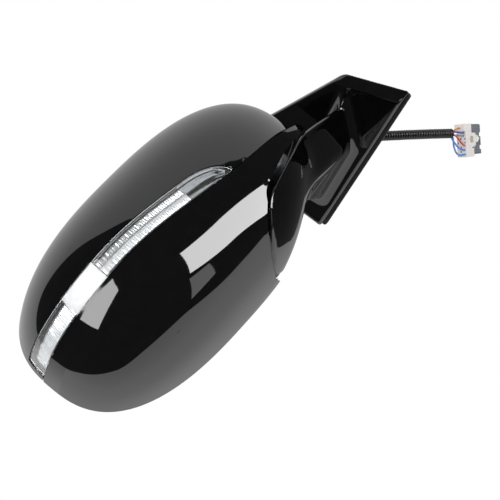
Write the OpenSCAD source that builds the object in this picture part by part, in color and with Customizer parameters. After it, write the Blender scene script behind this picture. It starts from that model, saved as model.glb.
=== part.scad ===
// Power-folding door mirror for the right-hand side of a car.
// Millimetres. The origin is the middle of the stud circle on the door face.
// +X points into the door, +Y to the rear of the car, +Z up.

/* [Head] */
// Half length of the head, from its middle to either end
head_half_l = 138; // [128:1:150]
// Depth of the head, from the rear rim to the nose
head_depth = 96; // [88:1:106]
// Half height of the head
head_half_h = 72; // [68:1:80]
// Fullness of the head: 1 is an ellipsoid, less is squarer
head_round = 0.76; // [0.7:0.01:0.82]
// Wall of the head's covers
skin = 2.6; // [2:0.1:3.2]
// Height of the head's middle above the stud circle
head_z = 28; // [22:1:36]
// Angle between the head's length and the door's normal
sweep = 18; // [12:1:24]
// Seam between two covers
seam = 0.4; // [0.3:0.1:0.8]

/* [Lamp] */
// Height of the lens
lens_h = 16; // [12:1:20]
// Inboard tip of the lens, from the head's middle
lens_tip = 43; // [30:1:50]
// Length of the lens's rounded inboard end
lens_nose = 33; // [20:1:38]
// Wall of the lens
lens_wall = 2.2; // [1.6:0.1:3]
// Depth of the lamp behind the lens
lamp_depth = 9; // [7:0.5:11]
// Height of the seam line at the outboard end
split_high = 8.3; // [4:0.1:12]
// Fall of the seam line from the outboard end to the inboard end
split_fall = 14.5; // [10:0.5:18]

/* [Glass] */
// Outboard reach of the glass from the head's middle
glass_out = 124; // [110:1:126]
// Inboard reach of the glass from the head's middle
glass_in = 34; // [24:1:36]
// Half height of the glass
glass_half_h = 57; // [48:1:59]
// Thickness of the glass
glass_t = 2; // [1.6:0.1:3]
// Thickness of the heater behind the glass
heater_t = 0.5; // [0.3:0.1:1]
// Thickness of the glass holder's plate
holder_t = 3; // [2:0.5:4]
// Gap round the glass
glass_gap = 4.5; // [4:0.5:6]
// Depth of the bezel behind the rear rim
bezel_deep = 12; // [9:1:16]
// Thickness of the rear housing's plate
plate_t = 3; // [2:0.5:4]

/* [Pivot] */
// Distance from the door face to the fold axis
arm_reach = 100; // [90:1:112]
// Distance of the fold axis ahead of the stud circle
pivot_side = 20; // [14:1:26]
// Fold axis inboard of the head's middle
pivot_in = 95; // [90:1:98]
// Fold axis ahead of the rear rim
pivot_fwd = 45; // [42:1:47]
// Outer radius of the pivot shaft
shaft_r = 11; // [9:0.5:12]
// Bore radius of the pivot shaft
shaft_bore = 7; // [5:0.5:8]
// Height of the head's floor over the foot, from the head's middle
rear_floor = -11; // [-12:0.2:-10.5]
// Gap between the foot and the head
fold_gap = 5.6; // [4.5:0.1:7]
// Running clearance of shafts and pins
run_fit = 0.05; // [0.02:0.01:0.08]

/* [Base] */
// Depth of the sail, door face to outer face
sail_t = 12; // [10:0.5:16]
// Wall of the base cover
base_wall = 3; // [2:0.5:3.5]
// Thickness of the sail's gasket
gasket_t = 3; // [2:0.5:4]
// How far the gasket's lip stands out below the cover
gasket_lip = 2.5; // [1:0.5:4]
// Thickness of the bracket's plate
bracket_t = 7; // [5:0.5:7.5]
// Diameter of the stud circle
stud_pcd = 66; // [56:1:72]
// Radius of a stud
stud_r = 3; // [2.5:0.5:4]
// Length of a stud past the door face
stud_len = 22; // [16:1:30]

/* [Harness] */
// Outer radius of the conduit's ribs
conduit_r = 4.2; // [3.2:0.1:4.4]
// Depth of the grooves between the ribs
rib_deep = 0.8; // [0.4:0.1:1]
// Pitch of the ribs
rib_pitch = 2.6; // [1.8:0.1:3]
// Wall of the conduit under the grooves
conduit_wall = 0.6; // [0.4:0.1:1]
// Radius of a wire
wire_r = 0.8; // [0.6:0.05:0.9]
// Length of the connector's housing along the wires
plug_len = 9.6; // [7:0.1:12]
// Width of the connector
plug_w = 28.5; // [24:0.5:32]
// Thickness of the connector
plug_t = 13; // [11:0.5:16]

/* [Hidden] */
$fn = 64;
eps = 0.02;

gloss_black = "#101012";
satin_black = "#1c1c1e";
cast_grey = "#7c7f83";
steel = "#b9bcc0";
nylon_grey = "#3a3c40";

// Sail outline in the door plane, as [rear, up]: front foot, front top, rear top, rear foot.
sail_pts = [[-88, -31.5], [-63.2, 21.2], [80, 86], [75, -29]];
sail_corner = 2.5;
// Arm corners at its root, its neck and its end, as [rear, up]: front top, front low, rear low, rear top.
arm_low = -17.2;
arm_root = [[-50, 9.5], [-18.5, arm_low], [48, arm_low], [52, 7]];
arm_neck = [[-50.5, 13], [-18.5, arm_low], [18, arm_low], [22, 8]];
arm_end = [[-45, 12], [-18.5, arm_low], [10, arm_low], [14, 8]];
// Run of the rounding at each of these corners.
arm_corner = [4, 5, 9, 12];
arm_fillet = 9;
neck_x = -75;

// Slope of the foot's top: its height at the fold axis, from the head's middle, and its rise inboard.
part_z = -24.6;
part_rise = 0.26;
// Outer wall of the foot, as [radius round the fold axis, height from the head's middle].
foot_wall = [[56, 0], [58, -30], [60, -36.6], [64, -42], [67.5, -52], [67, -62], [64, -67], [54, -76.6]];

// Stack of pieces on the pivot shaft, heights above the door mount's middle.
boss_low = -7;
detent_t = 4;
detent_z = head_z + rear_floor - detent_t;
hub_z = detent_z + detent_t + 0.3;
hub_h = 10.7;
case_z = hub_z + hub_h;
case_floor = 2;
worm_drop = 5;
gear_z = case_z + case_floor + worm_drop;
gear_h = 7;
spring_z = gear_z + gear_h;
spring_h = 16;
retainer_z = spring_z + spring_h;
retainer_t = 3;
shaft_top = retainer_z + retainer_t + 2;
boss_r = 15.5;

// Fold gear and worm: one worm turn moves one tooth.
gear_teeth = 32;
gear_module = 1.25;
gear_r = gear_teeth * gear_module / 2;
tooth_pitch = PI * gear_module;
worm_r = 5;
worm_lead = atan(tooth_pitch / (2 * PI * worm_r));
worm_x = -(gear_r + worm_r);
worm_y0 = -14;
worm_y1 = 11.4;
tooth_high = 1.1;
tooth_low = 1.4;
motor_r = 10;
motor_len = 20;

// Glass actuator, from the head's middle.
tilt_x = -42;
tilt_y = -12;
tilt_z = 1;
jack_arm = 34;
jack_r = 3;
jack_ball = 4;
jack_travel = 8;
cross_pin = 2;
cross_half = 14;
ear_in = 9.5;
ear_t = 4;
case_y0 = -49;
case_y1 = -23;
case_r = 15;
frame_y0 = -52;
frame_t = 3;

// Conduit route from the grommet to the connector, points chosen along its hang.
grommet_t = 2.5;
conduit_route = [
    [grommet_t, 0, 0], [7, 0, 0], [12.5, 0, -1.6], [20, 0, -7.2], [29.5, 0, -14.9], [39.1, 0, -22.2],
    [47.2, 0, -27.4], [55.3, 0, -32.6], [63.5, 0, -37.8], [71.6, 0, -43.1], [79.8, 0, -48.4],
    [87.9, 0, -53.7], [96, 0, -59.1], [104.2, 0, -64.6]
];
conduit_end = conduit_route[len(conduit_route) - 1];
plug_drop = 33.5;
plug_roll = 52;
plug_back = 10.8;
plug_side = 6.5;
harness_top = shaft_top - 1;
harness_route = [
    [0, 0, 0], [-10, 0, 0], [-22, 0, -4], [-35, -2, -10], [40 - arm_reach, 15 - pivot_side, -10.4],
    [20 - arm_reach, 13 - pivot_side, -10.8], [8 - arm_reach, 6 - pivot_side, -12],
    [1.5 - arm_reach, 0.8 - pivot_side, -9], [-arm_reach, -pivot_side, -3], [-arm_reach, -pivot_side, 20],
    [-arm_reach, -pivot_side, harness_top]
];
harness_r = 2.8;

// Curve helpers
function sp(v, e) = sign(v) * pow(abs(v), e);
function smooth(t) = let (c = min(1, max(0, t))) c * c * (3 - 2 * c);
function mix(a, b, t) = a + (b - a) * t;
function unit(v) = v / norm(v);

// Point of the head's surface at angle lam (0 inboard, 90 nose, 180 outboard) and height angle mu.
// It lies a depth t under the outer skin, and rear is the depth of the back half.
function head_pt(lam, mu, t, rear) =
    let (a = sp(cos(mu), head_round), deep = lam <= 180 ? head_depth - t : rear)
    [
        (head_half_l - t) * a * sp(cos(lam), head_round),
        -deep * a * sp(sin(lam), head_round),
        (head_half_h - t) * sp(sin(mu), head_round)
    ];

// Triangles of a grid of rings, closed round each ring and fanned to a pole at both ends.
function grid_quads(rows, cols) = [
    for (i = [0:rows - 2], j = [0:cols - 1])
        let (k = (j + 1) % cols, a = i * cols + j, b = i * cols + k, c = a + cols, d = b + cols)
        each [[a, b, d], [a, d, c]]
];
function fan_low(cols, pole) = [for (j = [0:cols - 1]) [pole, (j + 1) % cols, j]];
function fan_high(cols, base, pole) = [for (j = [0:cols - 1]) [pole, base + j, base + (j + 1) % cols]];

// Closed skin through a list of rings, with a pole at each end.
module ring_skin(rings, low, high) {
    cols = len(rings[0]);
    rows = len(rings);
    pts = concat([for (r = rings) each r], [low, high]);
    quads = grid_quads(rows, cols);
    faces = concat(quads, fan_low(cols, rows * cols), fan_high(cols, (rows - 1) * cols, rows * cols + 1));
    polyhedron(pts, faces);
}

// Welds a cut shell into one skin.
module one_skin() resize([0, 0, 0]) children();

// Places children in the pivot's frame: fold axis at the origin, head's length along X.
module at_pivot() translate([-arm_reach, -pivot_side, 0]) rotate(-sweep) children();
// Places children in the head's frame: middle of the rear rim at the origin.
module in_head() at_pivot() translate([-pivot_in, pivot_fwd, head_z]) children();
// Places children at the fold axis, in the head's frame.
module on_axis() translate([pivot_in, -pivot_fwd, 0]) children();
// Stands a drawing in the head's X-Z plane and thickens it from y0 to y1.
module slab_y(y0, y1) translate([0, y1, 0]) rotate([90, 0, 0]) linear_extrude(y1 - y0) children();
// Stands a drawing in the door's Y-Z plane and thickens it from x0 to x1.
module slab_x(x0, x1) translate([x0, 0, 0]) rotate([90, 0, 90]) linear_extrude(x1 - x0) children();

// Grid steps of the outer skin, of the walls inside it and of the foot.
outer_step = 3.75;
inner_step = 7.5;
foot_step = 6;
function steps_to(top, step) = [for (a = [0:step:top]) a];
function heights(step) = [for (a = [-90 + step:step:90 - step]) a];
head_mu = heights(5);

// Solid head, a depth t under the outer skin, with a flat back at y = tail.
module head_solid(t, tail = 0) {
    step = t > 0 ? inner_step : outer_step;
    rings = [
        for (m = t > 0 ? heights(inner_step) : head_mu) concat(
            [for (l = steps_to(180, step)) head_pt(l, m, t, 0)],
            tail > 0 ? [for (l = [180, 0]) head_pt(l, m, t, 0) + [0, tail, 0]] : []
        )
    ];
    ring_skin(rings, head_pt(90, -90, t, 0), head_pt(90, 90, t, 0));
}
module head_shell(t0, t1) difference() {
    head_solid(t0);
    head_solid(t1, 1);
}
// The same form with a shallow round back, for the foot.
// It rises towards its inboard end, by a share of its height, from x foot_rise[0] to foot_rise[1].
foot_back = 17;
foot_lift = 0.11;
foot_rise = [50, 110];
function foot_pt(p) =
    let (t = smooth((p[0] - foot_rise[0]) / (foot_rise[1] - foot_rise[0])))
    [p[0], p[1], p[2] * (1 - foot_lift * t)];
module foot_form(t) {
    rings = [
        for (m = heights(foot_step))
            [for (l = steps_to(359, foot_step)) foot_pt(head_pt(l, m, t, foot_back - t))]
    ];
    ring_skin(rings, head_pt(90, -90, t, 0), head_pt(90, 90, t, 0));
}

// Seam between the upper cap and the lower cover: low inboard, high outboard.
split_half = 75;
function split_z(x) = split_high - split_fall * smooth((x + split_half) / (2 * split_half));
function lens_up(x, inset) =
    let (start = lens_tip - lens_nose, t = (x - start) / (lens_nose - inset))
    (lens_h - 2 * inset) * (x < start ? 1 : sqrt(max(0, 1 - t * t)));
far = 200;
seam_x = [-far, for (x = [-90:10:90]) x, far];
module below_seam(drop) slab_y(-far, far)
    polygon(concat([for (x = seam_x) [x, split_z(x) - drop]], [[far, -far], [-far, -far]]));
lens_x = [-far, for (x = [-80:10:0]) x, for (k = [0:10:80]) lens_tip - lens_nose * (1 - sin(k))];
lens_end = 6;
module lens_window(inset) slab_y(-far, -lens_end - inset) polygon(concat(
    [for (x = lens_x) [min(x, lens_tip - inset), split_z(x) + inset]],
    [[lens_tip - inset, split_z(lens_tip) + inset]],
    [for (k = [1:len(lens_x)]) let (x = lens_x[len(lens_x) - k])
        [min(x, lens_tip - inset), split_z(x) + inset + max(0.05, lens_up(x, inset))]]
));

// Space under the sloping parting, raised by lift, from y0 to y1.
function part_at(x) = part_z + part_rise * (x - pivot_in);
module under_parting(lift, y0, y1) slab_y(y0, y1)
    polygon([[-far, part_at(-far) + lift], [far, part_at(far) + lift], [far, -2 * far], [-far, -2 * far]]);
// Space inside the foot's outer wall, grown by gap.
module wall_space(gap) {
    edge = [for (p = foot_wall) [p[0] + gap, p[1]]];
    last = edge[len(edge) - 1];
    foot = gap > 0 ? [[last[0], -far], [0, -far]] : [[0, last[1]]];
    on_axis() rotate_extrude() polygon(concat([[0, 0]], edge, foot));
}
module under_floor(lift) translate([-far, -far, -far]) cube([2 * far, 2 * far, far + rear_floor + lift]);
module rear_space(lift) on_axis() translate([-25, 0, -far]) cube([far, far, far + rear_floor + lift]);
// Space that the head leaves free for the foot and the arm.
module foot_space() {
    intersection() {
        wall_space(fold_gap);
        under_parting(fold_gap, -far, -pivot_fwd);
    }
    intersection() {
        wall_space(fold_gap);
        translate([-far, -pivot_fwd, -far]) cube([2 * far, far, far + rear_floor]);
    }
    rear_space(0);
}

// Outline of the rear rim and of the glass, in the head's X-Z plane.
module rim_outline() polygon(concat(
    [for (m = head_mu) [for (v = [head_pt(0, m, 0, 0)]) each [v[0], v[2]]]],
    [[0, head_half_h]],
    [for (m = head_mu) [for (v = [head_pt(180, -m, 0, 0)]) each [v[0], v[2]]]],
    [[0, -head_half_h]]
));
function glass_pt(t, off) = [
    sp(cos(t), head_round) * (cos(t) < 0 ? glass_out + off : glass_in + off),
    tilt_z + sp(sin(t), head_round) * (glass_half_h + off)
];
module glass_outline(off) polygon([for (t = [0:5:355]) glass_pt(t, off)]);

// Covers of the head
module upper_cap() color(gloss_black) in_head() one_skin() difference() {
    head_shell(0, skin);
    below_seam(0);
    lens_window(-seam);
}
module lower_cover() color(gloss_black) in_head() one_skin() difference() {
    intersection() {
        head_shell(0, skin);
        below_seam(seam);
    }
    foot_space();
}
// Floor of the head over the foot, cut clear of the frame and its hub.
shroud_t = 2;
module fold_shroud() color(satin_black) in_head() one_skin() difference() {
    intersection() {
        head_solid(skin + 0.2);
        under_floor(shroud_t);
        union() {
            wall_space(fold_gap + shroud_t, $fn = 48);
            rear_space(shroud_t);
        }
    }
    intersection() {
        wall_space(fold_gap, $fn = 48);
        under_floor(0);
    }
    rear_space(0);
    on_axis() translate([0, 0, -far]) cylinder(r = hub_r + seam, h = 2 * far);
    translate([frame_x - 2 - seam, frame_y0 - seam, -far])
        cube([pivot_in - frame_x + 2 + seam, frame_block + 2 * seam, 2 * far]);
}
module rear_housing() color(satin_black) in_head() {
    difference() {
        slab_y(0, plate_t) rim_outline();
        slab_y(-1, plate_t + 1) glass_outline(glass_gap + bezel_wall + seam);
        foot_space();
    }
    for (p = post_at)
        translate([p[0], eps, p[1]]) rotate([90, 0, 0]) cylinder(r = post_r, h = -frame_y0 - frame_t + eps);
}
post_at = [[60, 32], [54, -3]];
post_r = 4;
bezel_wall = 2;
module bezel() color(satin_black) in_head() {
    g = glass_gap;
    w = bezel_wall;
    lip = [
        [g, -6], [g, bezel_deep / 2], [g + 0.4, bezel_deep - 2], [g + 1.6, bezel_deep - 0.4],
        [g + 3.2, bezel_deep], [g + 5.4, bezel_deep - 2], [g + 7, bezel_deep / 2], [g + 7.5, plate_t],
        [g + w, plate_t], [g + w, -6]
    ];
    n = len(lip);
    turns = [0:6:354];
    pts = [for (t = turns) for (q = lip) let (p = glass_pt(t, q[0])) [p[0], q[1], p[1]]];
    m = len(pts);
    faces = [
        for (i = [0:m / n - 1], j = [0:n - 1])
            let (a = i * n + j, b = i * n + (j + 1) % n, c = (a + n) % m, d = (b + n) % m)
            each [[a, b, d], [a, d, c]]
    ];
    polyhedron(pts, faces);
}

// Turn-signal lamp
lens_sink = 0.3;
lamp_gap = 0.2;
lamp_wall = 1.4;
module lamp_lens() color("#dfe6ea", 0.5) in_head() one_skin() intersection() {
    head_shell(lens_sink, lens_sink + lens_wall);
    lens_window(0);
}
lamp_in = lens_sink + lens_wall + lamp_gap;
module lamp_housing() color("#c9ccd0") in_head() one_skin() difference() {
    intersection() {
        head_shell(lamp_in, lamp_in + lamp_depth);
        lens_window(0.6);
        lamp_reach();
    }
    intersection() {
        head_shell(lamp_in - 1, lamp_in + lamp_depth - lamp_wall);
        lens_window(0.6 + lamp_wall);
    }
}
lamp_end = 18;
module lamp_reach() slab_y(-far, -lamp_end) square([2 * far, 2 * far], center = true);
// Light guide: its inboard end, its half height and its place in the lens's height.
guide_end = 8;
guide_half = 1;
guide_share = 0.45;
guide_x = [for (x = lens_x) if (x < guide_end) x, guide_end];
function guide_mid(x) = split_z(x) + guide_share * lens_h;
module light_guide() color("#eef3f6", 0.6) in_head() one_skin() intersection() {
    head_shell(lamp_in + 0.3, lamp_in + lamp_depth - lamp_wall - 0.05);
    slab_y(-far, -lamp_end - 1.5) polygon(concat(
        [for (x = guide_x) [x, guide_mid(x) - guide_half]],
        [for (k = [1:len(guide_x)]) let (x = guide_x[len(guide_x) - k]) [x, guide_mid(x) + guide_half]]
    ));
}
board_x = -70;
board_y = 60;
board_len = 60;
module lamp_board() color("#1f5a35") in_head() one_skin() intersection() {
    head_shell(lamp_in + lamp_depth + 0.1, lamp_in + lamp_depth + 1.7);
    lens_window(2.5);
    slab_y(-far, -board_y) square([2 * far, 2 * far], center = true);
    translate([board_x, 0, 0]) cube([board_len, 2 * far, 2 * far], center = true);
}

// Frame of the head and its fold drive
hub_r = 17;
frame_x = 60;
frame_block = 10;
// Plate of the frame: outboard reach, lower edge, upper edge inboard and outboard, notch over the foot.
frame_out = 104;
frame_low = 36;
frame_high = [38, 32];
frame_notch = [8, [20, -20], 30];
// Lightening holes, from the head's middle, and the hole for the wiring.
frame_holes = [-80, 10];
frame_hole_r = 16;
wiring_hole = [48, 12];
wiring_hole_r = 9;
module head_frame() color(nylon_grey) in_head() difference() {
    union() {
        slab_y(frame_y0, frame_y0 + frame_t) polygon([
            [-frame_out, -frame_low], [frame_notch[0], -frame_low], frame_notch[1],
            [frame_notch[2], rear_floor + shroud_t + 1], [frame_x, rear_floor + shroud_t + 1],
            [frame_x, frame_high[0]], [-frame_out, frame_high[1]]
        ]);
        on_axis() translate([0, 0, hub_z - head_z]) cylinder(r = hub_r, h = hub_h);
        translate([frame_x - 2, frame_y0, hub_z - head_z]) cube([pivot_in - frame_x + 2, frame_block, hub_h]);
    }
    on_axis() translate([0, 0, -far / 2]) cylinder(r = shaft_r + run_fit, h = far);
    for (x = frame_holes)
        slab_y(frame_y0 - 1, frame_y0 + frame_t + 1) translate([x, tilt_z]) circle(r = frame_hole_r);
    for (p = case_screws) slab_y(frame_y0 - 1, frame_y0 + frame_t + 1) translate(p) circle(r = screw_r + 0.2);
    slab_y(frame_y0 - 1, frame_y0 + frame_t + 1) translate(wiring_hole) circle(r = wiring_hole_r);
}
case_out_r = 23.8;
case_wall = 2;
case_h = 20;
worm_box = [[-34, -18], [0, 14]];
worm_z = gear_z + gear_h / 2;
module case_outline(inset) {
    circle(r = case_out_r - inset);
    translate(worm_box[0] + [inset, inset]) square(worm_box[1] - worm_box[0] - [2 * inset, 2 * inset]);
}
// Keeps a piece of the fold drive clear of the covers round it.
case_gap = 0.3;
module in_covers() at_pivot() intersection() {
    children();
    translate([-pivot_in, pivot_fwd, head_z]) head_solid(skin + case_gap, far);
}
module fold_case() color(satin_black) in_covers() difference() {
    translate([0, 0, case_z]) linear_extrude(case_h) case_outline(0);
    translate([0, 0, case_z + case_floor]) linear_extrude(case_h) case_outline(case_wall);
    translate([0, 0, case_z - 1]) cylinder(r = shaft_r + 0.4, h = case_h);
    on_worm() cylinder(r = 2 + run_fit, h = far, center = true);
}
module fold_case_lid() color(satin_black) in_covers() translate([0, 0, case_z + case_h])
    linear_extrude(case_floor) difference() {
        case_outline(0);
        circle(r = hub_r + 1);
    }
// Worm axis, level with the gear and tilted by the lead angle so that its thread lies along the teeth.
module on_worm() translate([worm_x, 0, worm_z]) rotate([-90 - worm_lead, 0, 0]) children();
// The motor starts where its tilted front face clears the case's round wall.
motor_gap = 0.3;
case_side = sqrt(pow(case_out_r, 2) - pow(worm_x + motor_r, 2));
motor_y = (case_side + motor_r * sin(worm_lead) + motor_gap) / cos(worm_lead);
module fold_motor() color(steel) at_pivot() on_worm() translate([0, 0, motor_y]) {
    cylinder(r = motor_r, h = motor_len);
    translate([0, 0, motor_len - eps]) cylinder(r = 3, h = 2);
}
module fold_worm() color("#d8d3c4") at_pivot() on_worm() {
    translate([0, 0, worm_y0 - 3.2]) cylinder(r = 2, h = motor_y - motor_gap - worm_y0 + 3.2);
    translate([0, 0, worm_y0]) cylinder(r = worm_r - tooth_low, h = worm_y1 - worm_y0);
    worm_thread();
}
// Thread of the worm: a ridge that climbs one tooth pitch each turn.
worm_step = 18;
module worm_thread() {
    low = worm_r - tooth_low - 0.3;
    high = worm_r + tooth_high;
    turns = floor((worm_y1 - worm_y0 - 4) / tooth_pitch / 2) * 2;
    ridge = [for (q = [[low, -0.28], [high, -0.1], [high, 0.1], [low, 0.28]]) [q[0], q[1] * tooth_pitch]];
    count = turns * 360 / worm_step;
    rings = [
        for (i = [0:count]) let (a = (i - count / 2) * worm_step, z = tooth_pitch * a / 360)
            [for (q = ridge) [q[0] * cos(a), q[0] * sin(a), z + q[1]]]
    ];
    ring_skin(rings, (rings[0][0] + rings[0][3]) / 2, (rings[count][0] + rings[count][3]) / 2);
}
module fold_gear() color("#c8a24a") at_pivot() translate([0, 0, gear_z]) linear_extrude(gear_h) difference() {
    polygon([
        for (i = [0:gear_teeth - 1]) let (a = 180 + (i + 0.5) * 360 / gear_teeth, w = 360 / gear_teeth)
            each [
                for (q = [[-0.29, -tooth_low], [-0.1, tooth_high], [0.1, tooth_high], [0.29, -tooth_low]])
                    (gear_r + q[1]) * [cos(a + q[0] * w), sin(a + q[0] * w)]
            ]
    ]);
    circle(r = shaft_r);
}

// Pieces on the pivot shaft
module pivot_shaft() color(steel) at_pivot() difference() {
    translate([0, 0, boss_low]) cylinder(r = shaft_r, h = shaft_top - boss_low);
    translate([0, 0, boss_low - 1]) cylinder(r = shaft_bore, h = far);
}
module detent_ring() color(steel) at_pivot() translate([0, 0, detent_z]) difference() {
    cylinder(r = hub_r, h = detent_t);
    translate([0, 0, -1]) cylinder(r = shaft_r, h = far);
    for (a = [0:120:359]) rotate(a) translate([0, -1.5, detent_t - 1]) cube([far, 3, 2]);
}
module spring_retainer() color(steel) at_pivot() translate([0, 0, retainer_z]) difference() {
    cylinder(r = hub_r - 0.5, h = retainer_t);
    translate([0, 0, -1]) cylinder(r = shaft_r, h = far);
}
spring_wire = 1.2;
spring_turns = 4;
module clutch_spring() color(steel) at_pivot() {
    r = shaft_r + spring_wire + 1.6;
    rise = spring_h - 2 * spring_wire - 0.2;
    step = 24;
    count = spring_turns * 360 / step;
    rings = [
        for (i = [0:count]) let (a = i * step, z = spring_z + spring_wire + 0.1 + rise * i / count)
            [for (b = [0:60:300]) let (q = r + spring_wire * cos(b))
                [q * cos(a), q * sin(a), z + spring_wire * sin(b)]]
    ];
    ring_skin(rings, mid(rings[0]), mid(rings[count]));
}
function mid(ring, k = 0) = k == len(ring) - 1 ? ring[k] / len(ring) : ring[k] / len(ring) + mid(ring, k + 1);

// Base: sail, arm and foot
module sail_outline(grow)
    offset(r = grow) offset(r = sail_corner) offset(delta = -sail_corner) polygon(sail_pts);
function blend_quad(a, b, t) = [for (i = [0:3]) mix(a[i], b[i], t)];
quad_sign = [[-1, 1], [-1, -1], [1, -1], [1, 1]];
function grow_quad(q, g) = [for (i = [0:3]) q[i] + g * quad_sign[i]];
// Rounded four-cornered section at a given x.
function quad_ring(x, q) = [
    for (i = [0:3])
        let (c = q[i], run = arm_corner[i])
        let (back = c + run * unit(q[(i + 3) % 4] - c), on = c + run * unit(q[(i + 1) % 4] - c))
        for (t = [0:0.25:1])
            let (p = back * (1 - t) * (1 - t) + 2 * c * t * (1 - t) + on * t * t)
            [x, p[0], p[1]]
];
function fillet_out(d) =
    d > arm_fillet ? 0 : arm_fillet - sqrt(pow(arm_fillet, 2) - pow(arm_fillet - d, 2));
neck_d = -neck_x - sail_t;
end_d = arm_reach - sail_t;
function arm_quad(d) = d < neck_d
    ? blend_quad(arm_root, arm_neck, smooth(d / neck_d))
    : blend_quad(arm_neck, arm_end, (d - neck_d) / (end_d - neck_d));
module arm_form(inset) {
    start = inset > 0 ? 4 : 0;
    steps = [-start - 1, 0, 0.7, 2, 4, 6.5, 9, 25, 42, neck_d, mix(neck_d, end_d, 0.5), end_d];
    rings = [for (d = steps) quad_ring(-sail_t - d, grow_quad(arm_quad(d), fillet_out(max(0, d)) - inset))];
    ring_skin(rings, mid(rings[0]), mid(rings[len(rings) - 1]));
}
// Arm and foot, a depth inset under their outer skin.
module base_body(inset) intersection() {
    union() {
        arm_form(inset);
        in_head() intersection() {
            foot_form(inset);
            wall_space(-inset);
        }
    }
    in_head() {
        under_parting(-inset * sqrt(1 + part_rise * part_rise), -far, far);
        on_axis() translate([step_x + inset, step_y + inset, -far])
            cube([far, far, far + rear_floor - fold_gap - inset]);
    }
}
// Raised step of the foot's top, behind the fold axis.
step_x = -20;
step_y = 8;
// Tongue round the foot's outer wall, sunk behind the skin, that closes the gap to the head.
tongue_in = 4.2;
tongue_gap = 1.6;
module foot_tongue() in_head() intersection() {
    foot_form(tongue_in);
    wall_space(fold_gap - tongue_gap);
    under_parting(0, -far, far);
}
module base_cover() color(gloss_black) one_skin() difference() {
    union() {
        slab_x(-sail_t, -gasket_t) sail_outline(0);
        base_body(0);
        foot_tongue();
    }
    slab_x(-sail_t + base_wall, 1) sail_outline(-base_wall);
    base_body(base_wall);
    at_pivot() translate([0, 0, boss_low]) cylinder(r = boss_r + seam, h = far);
    translate([0, 0, arm_low - 1]) linear_extrude(base_wall + 2) cap_outline(seam);
    for (p = screw_at) slab_x(-sail_t + 1, 0) translate(p) circle(r = screw_r + 0.05);
}
// Cap over the service opening under the arm, between two round ends.
cap_ends = [[-51, 16], [-43, 3]];
cap_r = 6.5;
module cap_outline(grow) hull() for (p = cap_ends) translate(p) circle(r = cap_r + grow, $fn = 32);
module service_cap() color(gloss_black) translate([0, 0, arm_low]) linear_extrude(base_wall) cap_outline(0);
module sail_gasket() color("#18181a") slab_x(-gasket_t, 0) difference() {
    translate([gasket_set, -gasket_lip]) sail_outline(0);
    sail_outline(-gasket_w);
}
gasket_set = 3;
gasket_w = 9;
bracket_gap = 1;
hole_r = 9;
beam_front = 18;
beam_rear = 10;
beam_top = 4;
beam_floor = 1.5;
screw_at = [[-60, -12], [24, 44], [60, 24]];
screw_r = 2;
screw_head = 4;
// How much thicker a stud is where it sits in the bracket.
stud_shank = 0.4;
stud_at = [for (a = [90, 210, 330]) stud_pcd / 2 * [cos(a), sin(a)]];
module base_bracket() color(cast_grey) difference() {
    union() {
        slab_x(-bracket_t, 0) sail_outline(-gasket_w - bracket_gap);
        translate([-arm_reach + boss_r / 2, -beam_front, boss_low])
            cube([arm_reach - boss_r / 2 - bracket_t + eps, beam_front + beam_rear, beam_top - boss_low]);
        at_pivot() translate([0, 0, boss_low]) cylinder(r = boss_r, h = detent_z - boss_low);
    }
    translate([-arm_reach + boss_r + 2, -6, boss_low - 1])
        cube([arm_reach - boss_r - 2 - bracket_t + eps, 12, beam_top - beam_floor - boss_low + 1]);
    at_pivot() translate([0, 0, -far / 2]) cylinder(r = shaft_r, h = far);
    slab_x(-bracket_t - 1, 1) circle(r = hole_r);
    for (p = stud_at) slab_x(-bracket_t - 1, 1) translate(p) circle(r = stud_r + stud_shank);
    for (p = screw_at) {
        slab_x(-bracket_t - 1, 1) translate(p) circle(r = screw_r + 0.2);
        slab_x(-screw_head + 1, 1) translate(p) circle(r = screw_head + 0.3);
    }
}
module mount_studs() color(steel) for (p = stud_at) {
    slab_x(-bracket_t, 0) translate(p) circle(r = stud_r + stud_shank);
    slab_x(-1, stud_len) translate(p) circle(r = stud_r);
    slab_x(-bracket_t - 1.6, -bracket_t) translate(p) circle(r = 2 * stud_r);
}
module cover_screws() color(steel) for (p = screw_at) {
    slab_x(-sail_t + 1.2, -screw_head + 1) translate(p) circle(r = screw_r);
    slab_x(-screw_head + 1, -0.6) translate(p) circle(r = screw_head);
}

// Harness
function path_pt(pts, s) =
    let (n = len(pts) - 1, i = min(n - 1, floor(s)), t = s - i)
    let (p1 = pts[i], p2 = pts[i + 1])
    let (p0 = i > 0 ? pts[i - 1] : 2 * p1 - p2, p3 = i < n - 1 ? pts[i + 2] : 2 * p2 - p1)
    let (a = p2 - p0, b = 2 * p0 - 5 * p1 + 4 * p2 - p3, c = 3 * p1 - p0 - 3 * p2 + p3)
    0.5 * (2 * p1 + a * t + b * t * t + c * t * t * t);
function path_dir(pts, s) =
    let (n = len(pts) - 1, h = 0.01) unit(path_pt(pts, min(n, s + h)) - path_pt(pts, max(0, s - h)));
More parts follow.
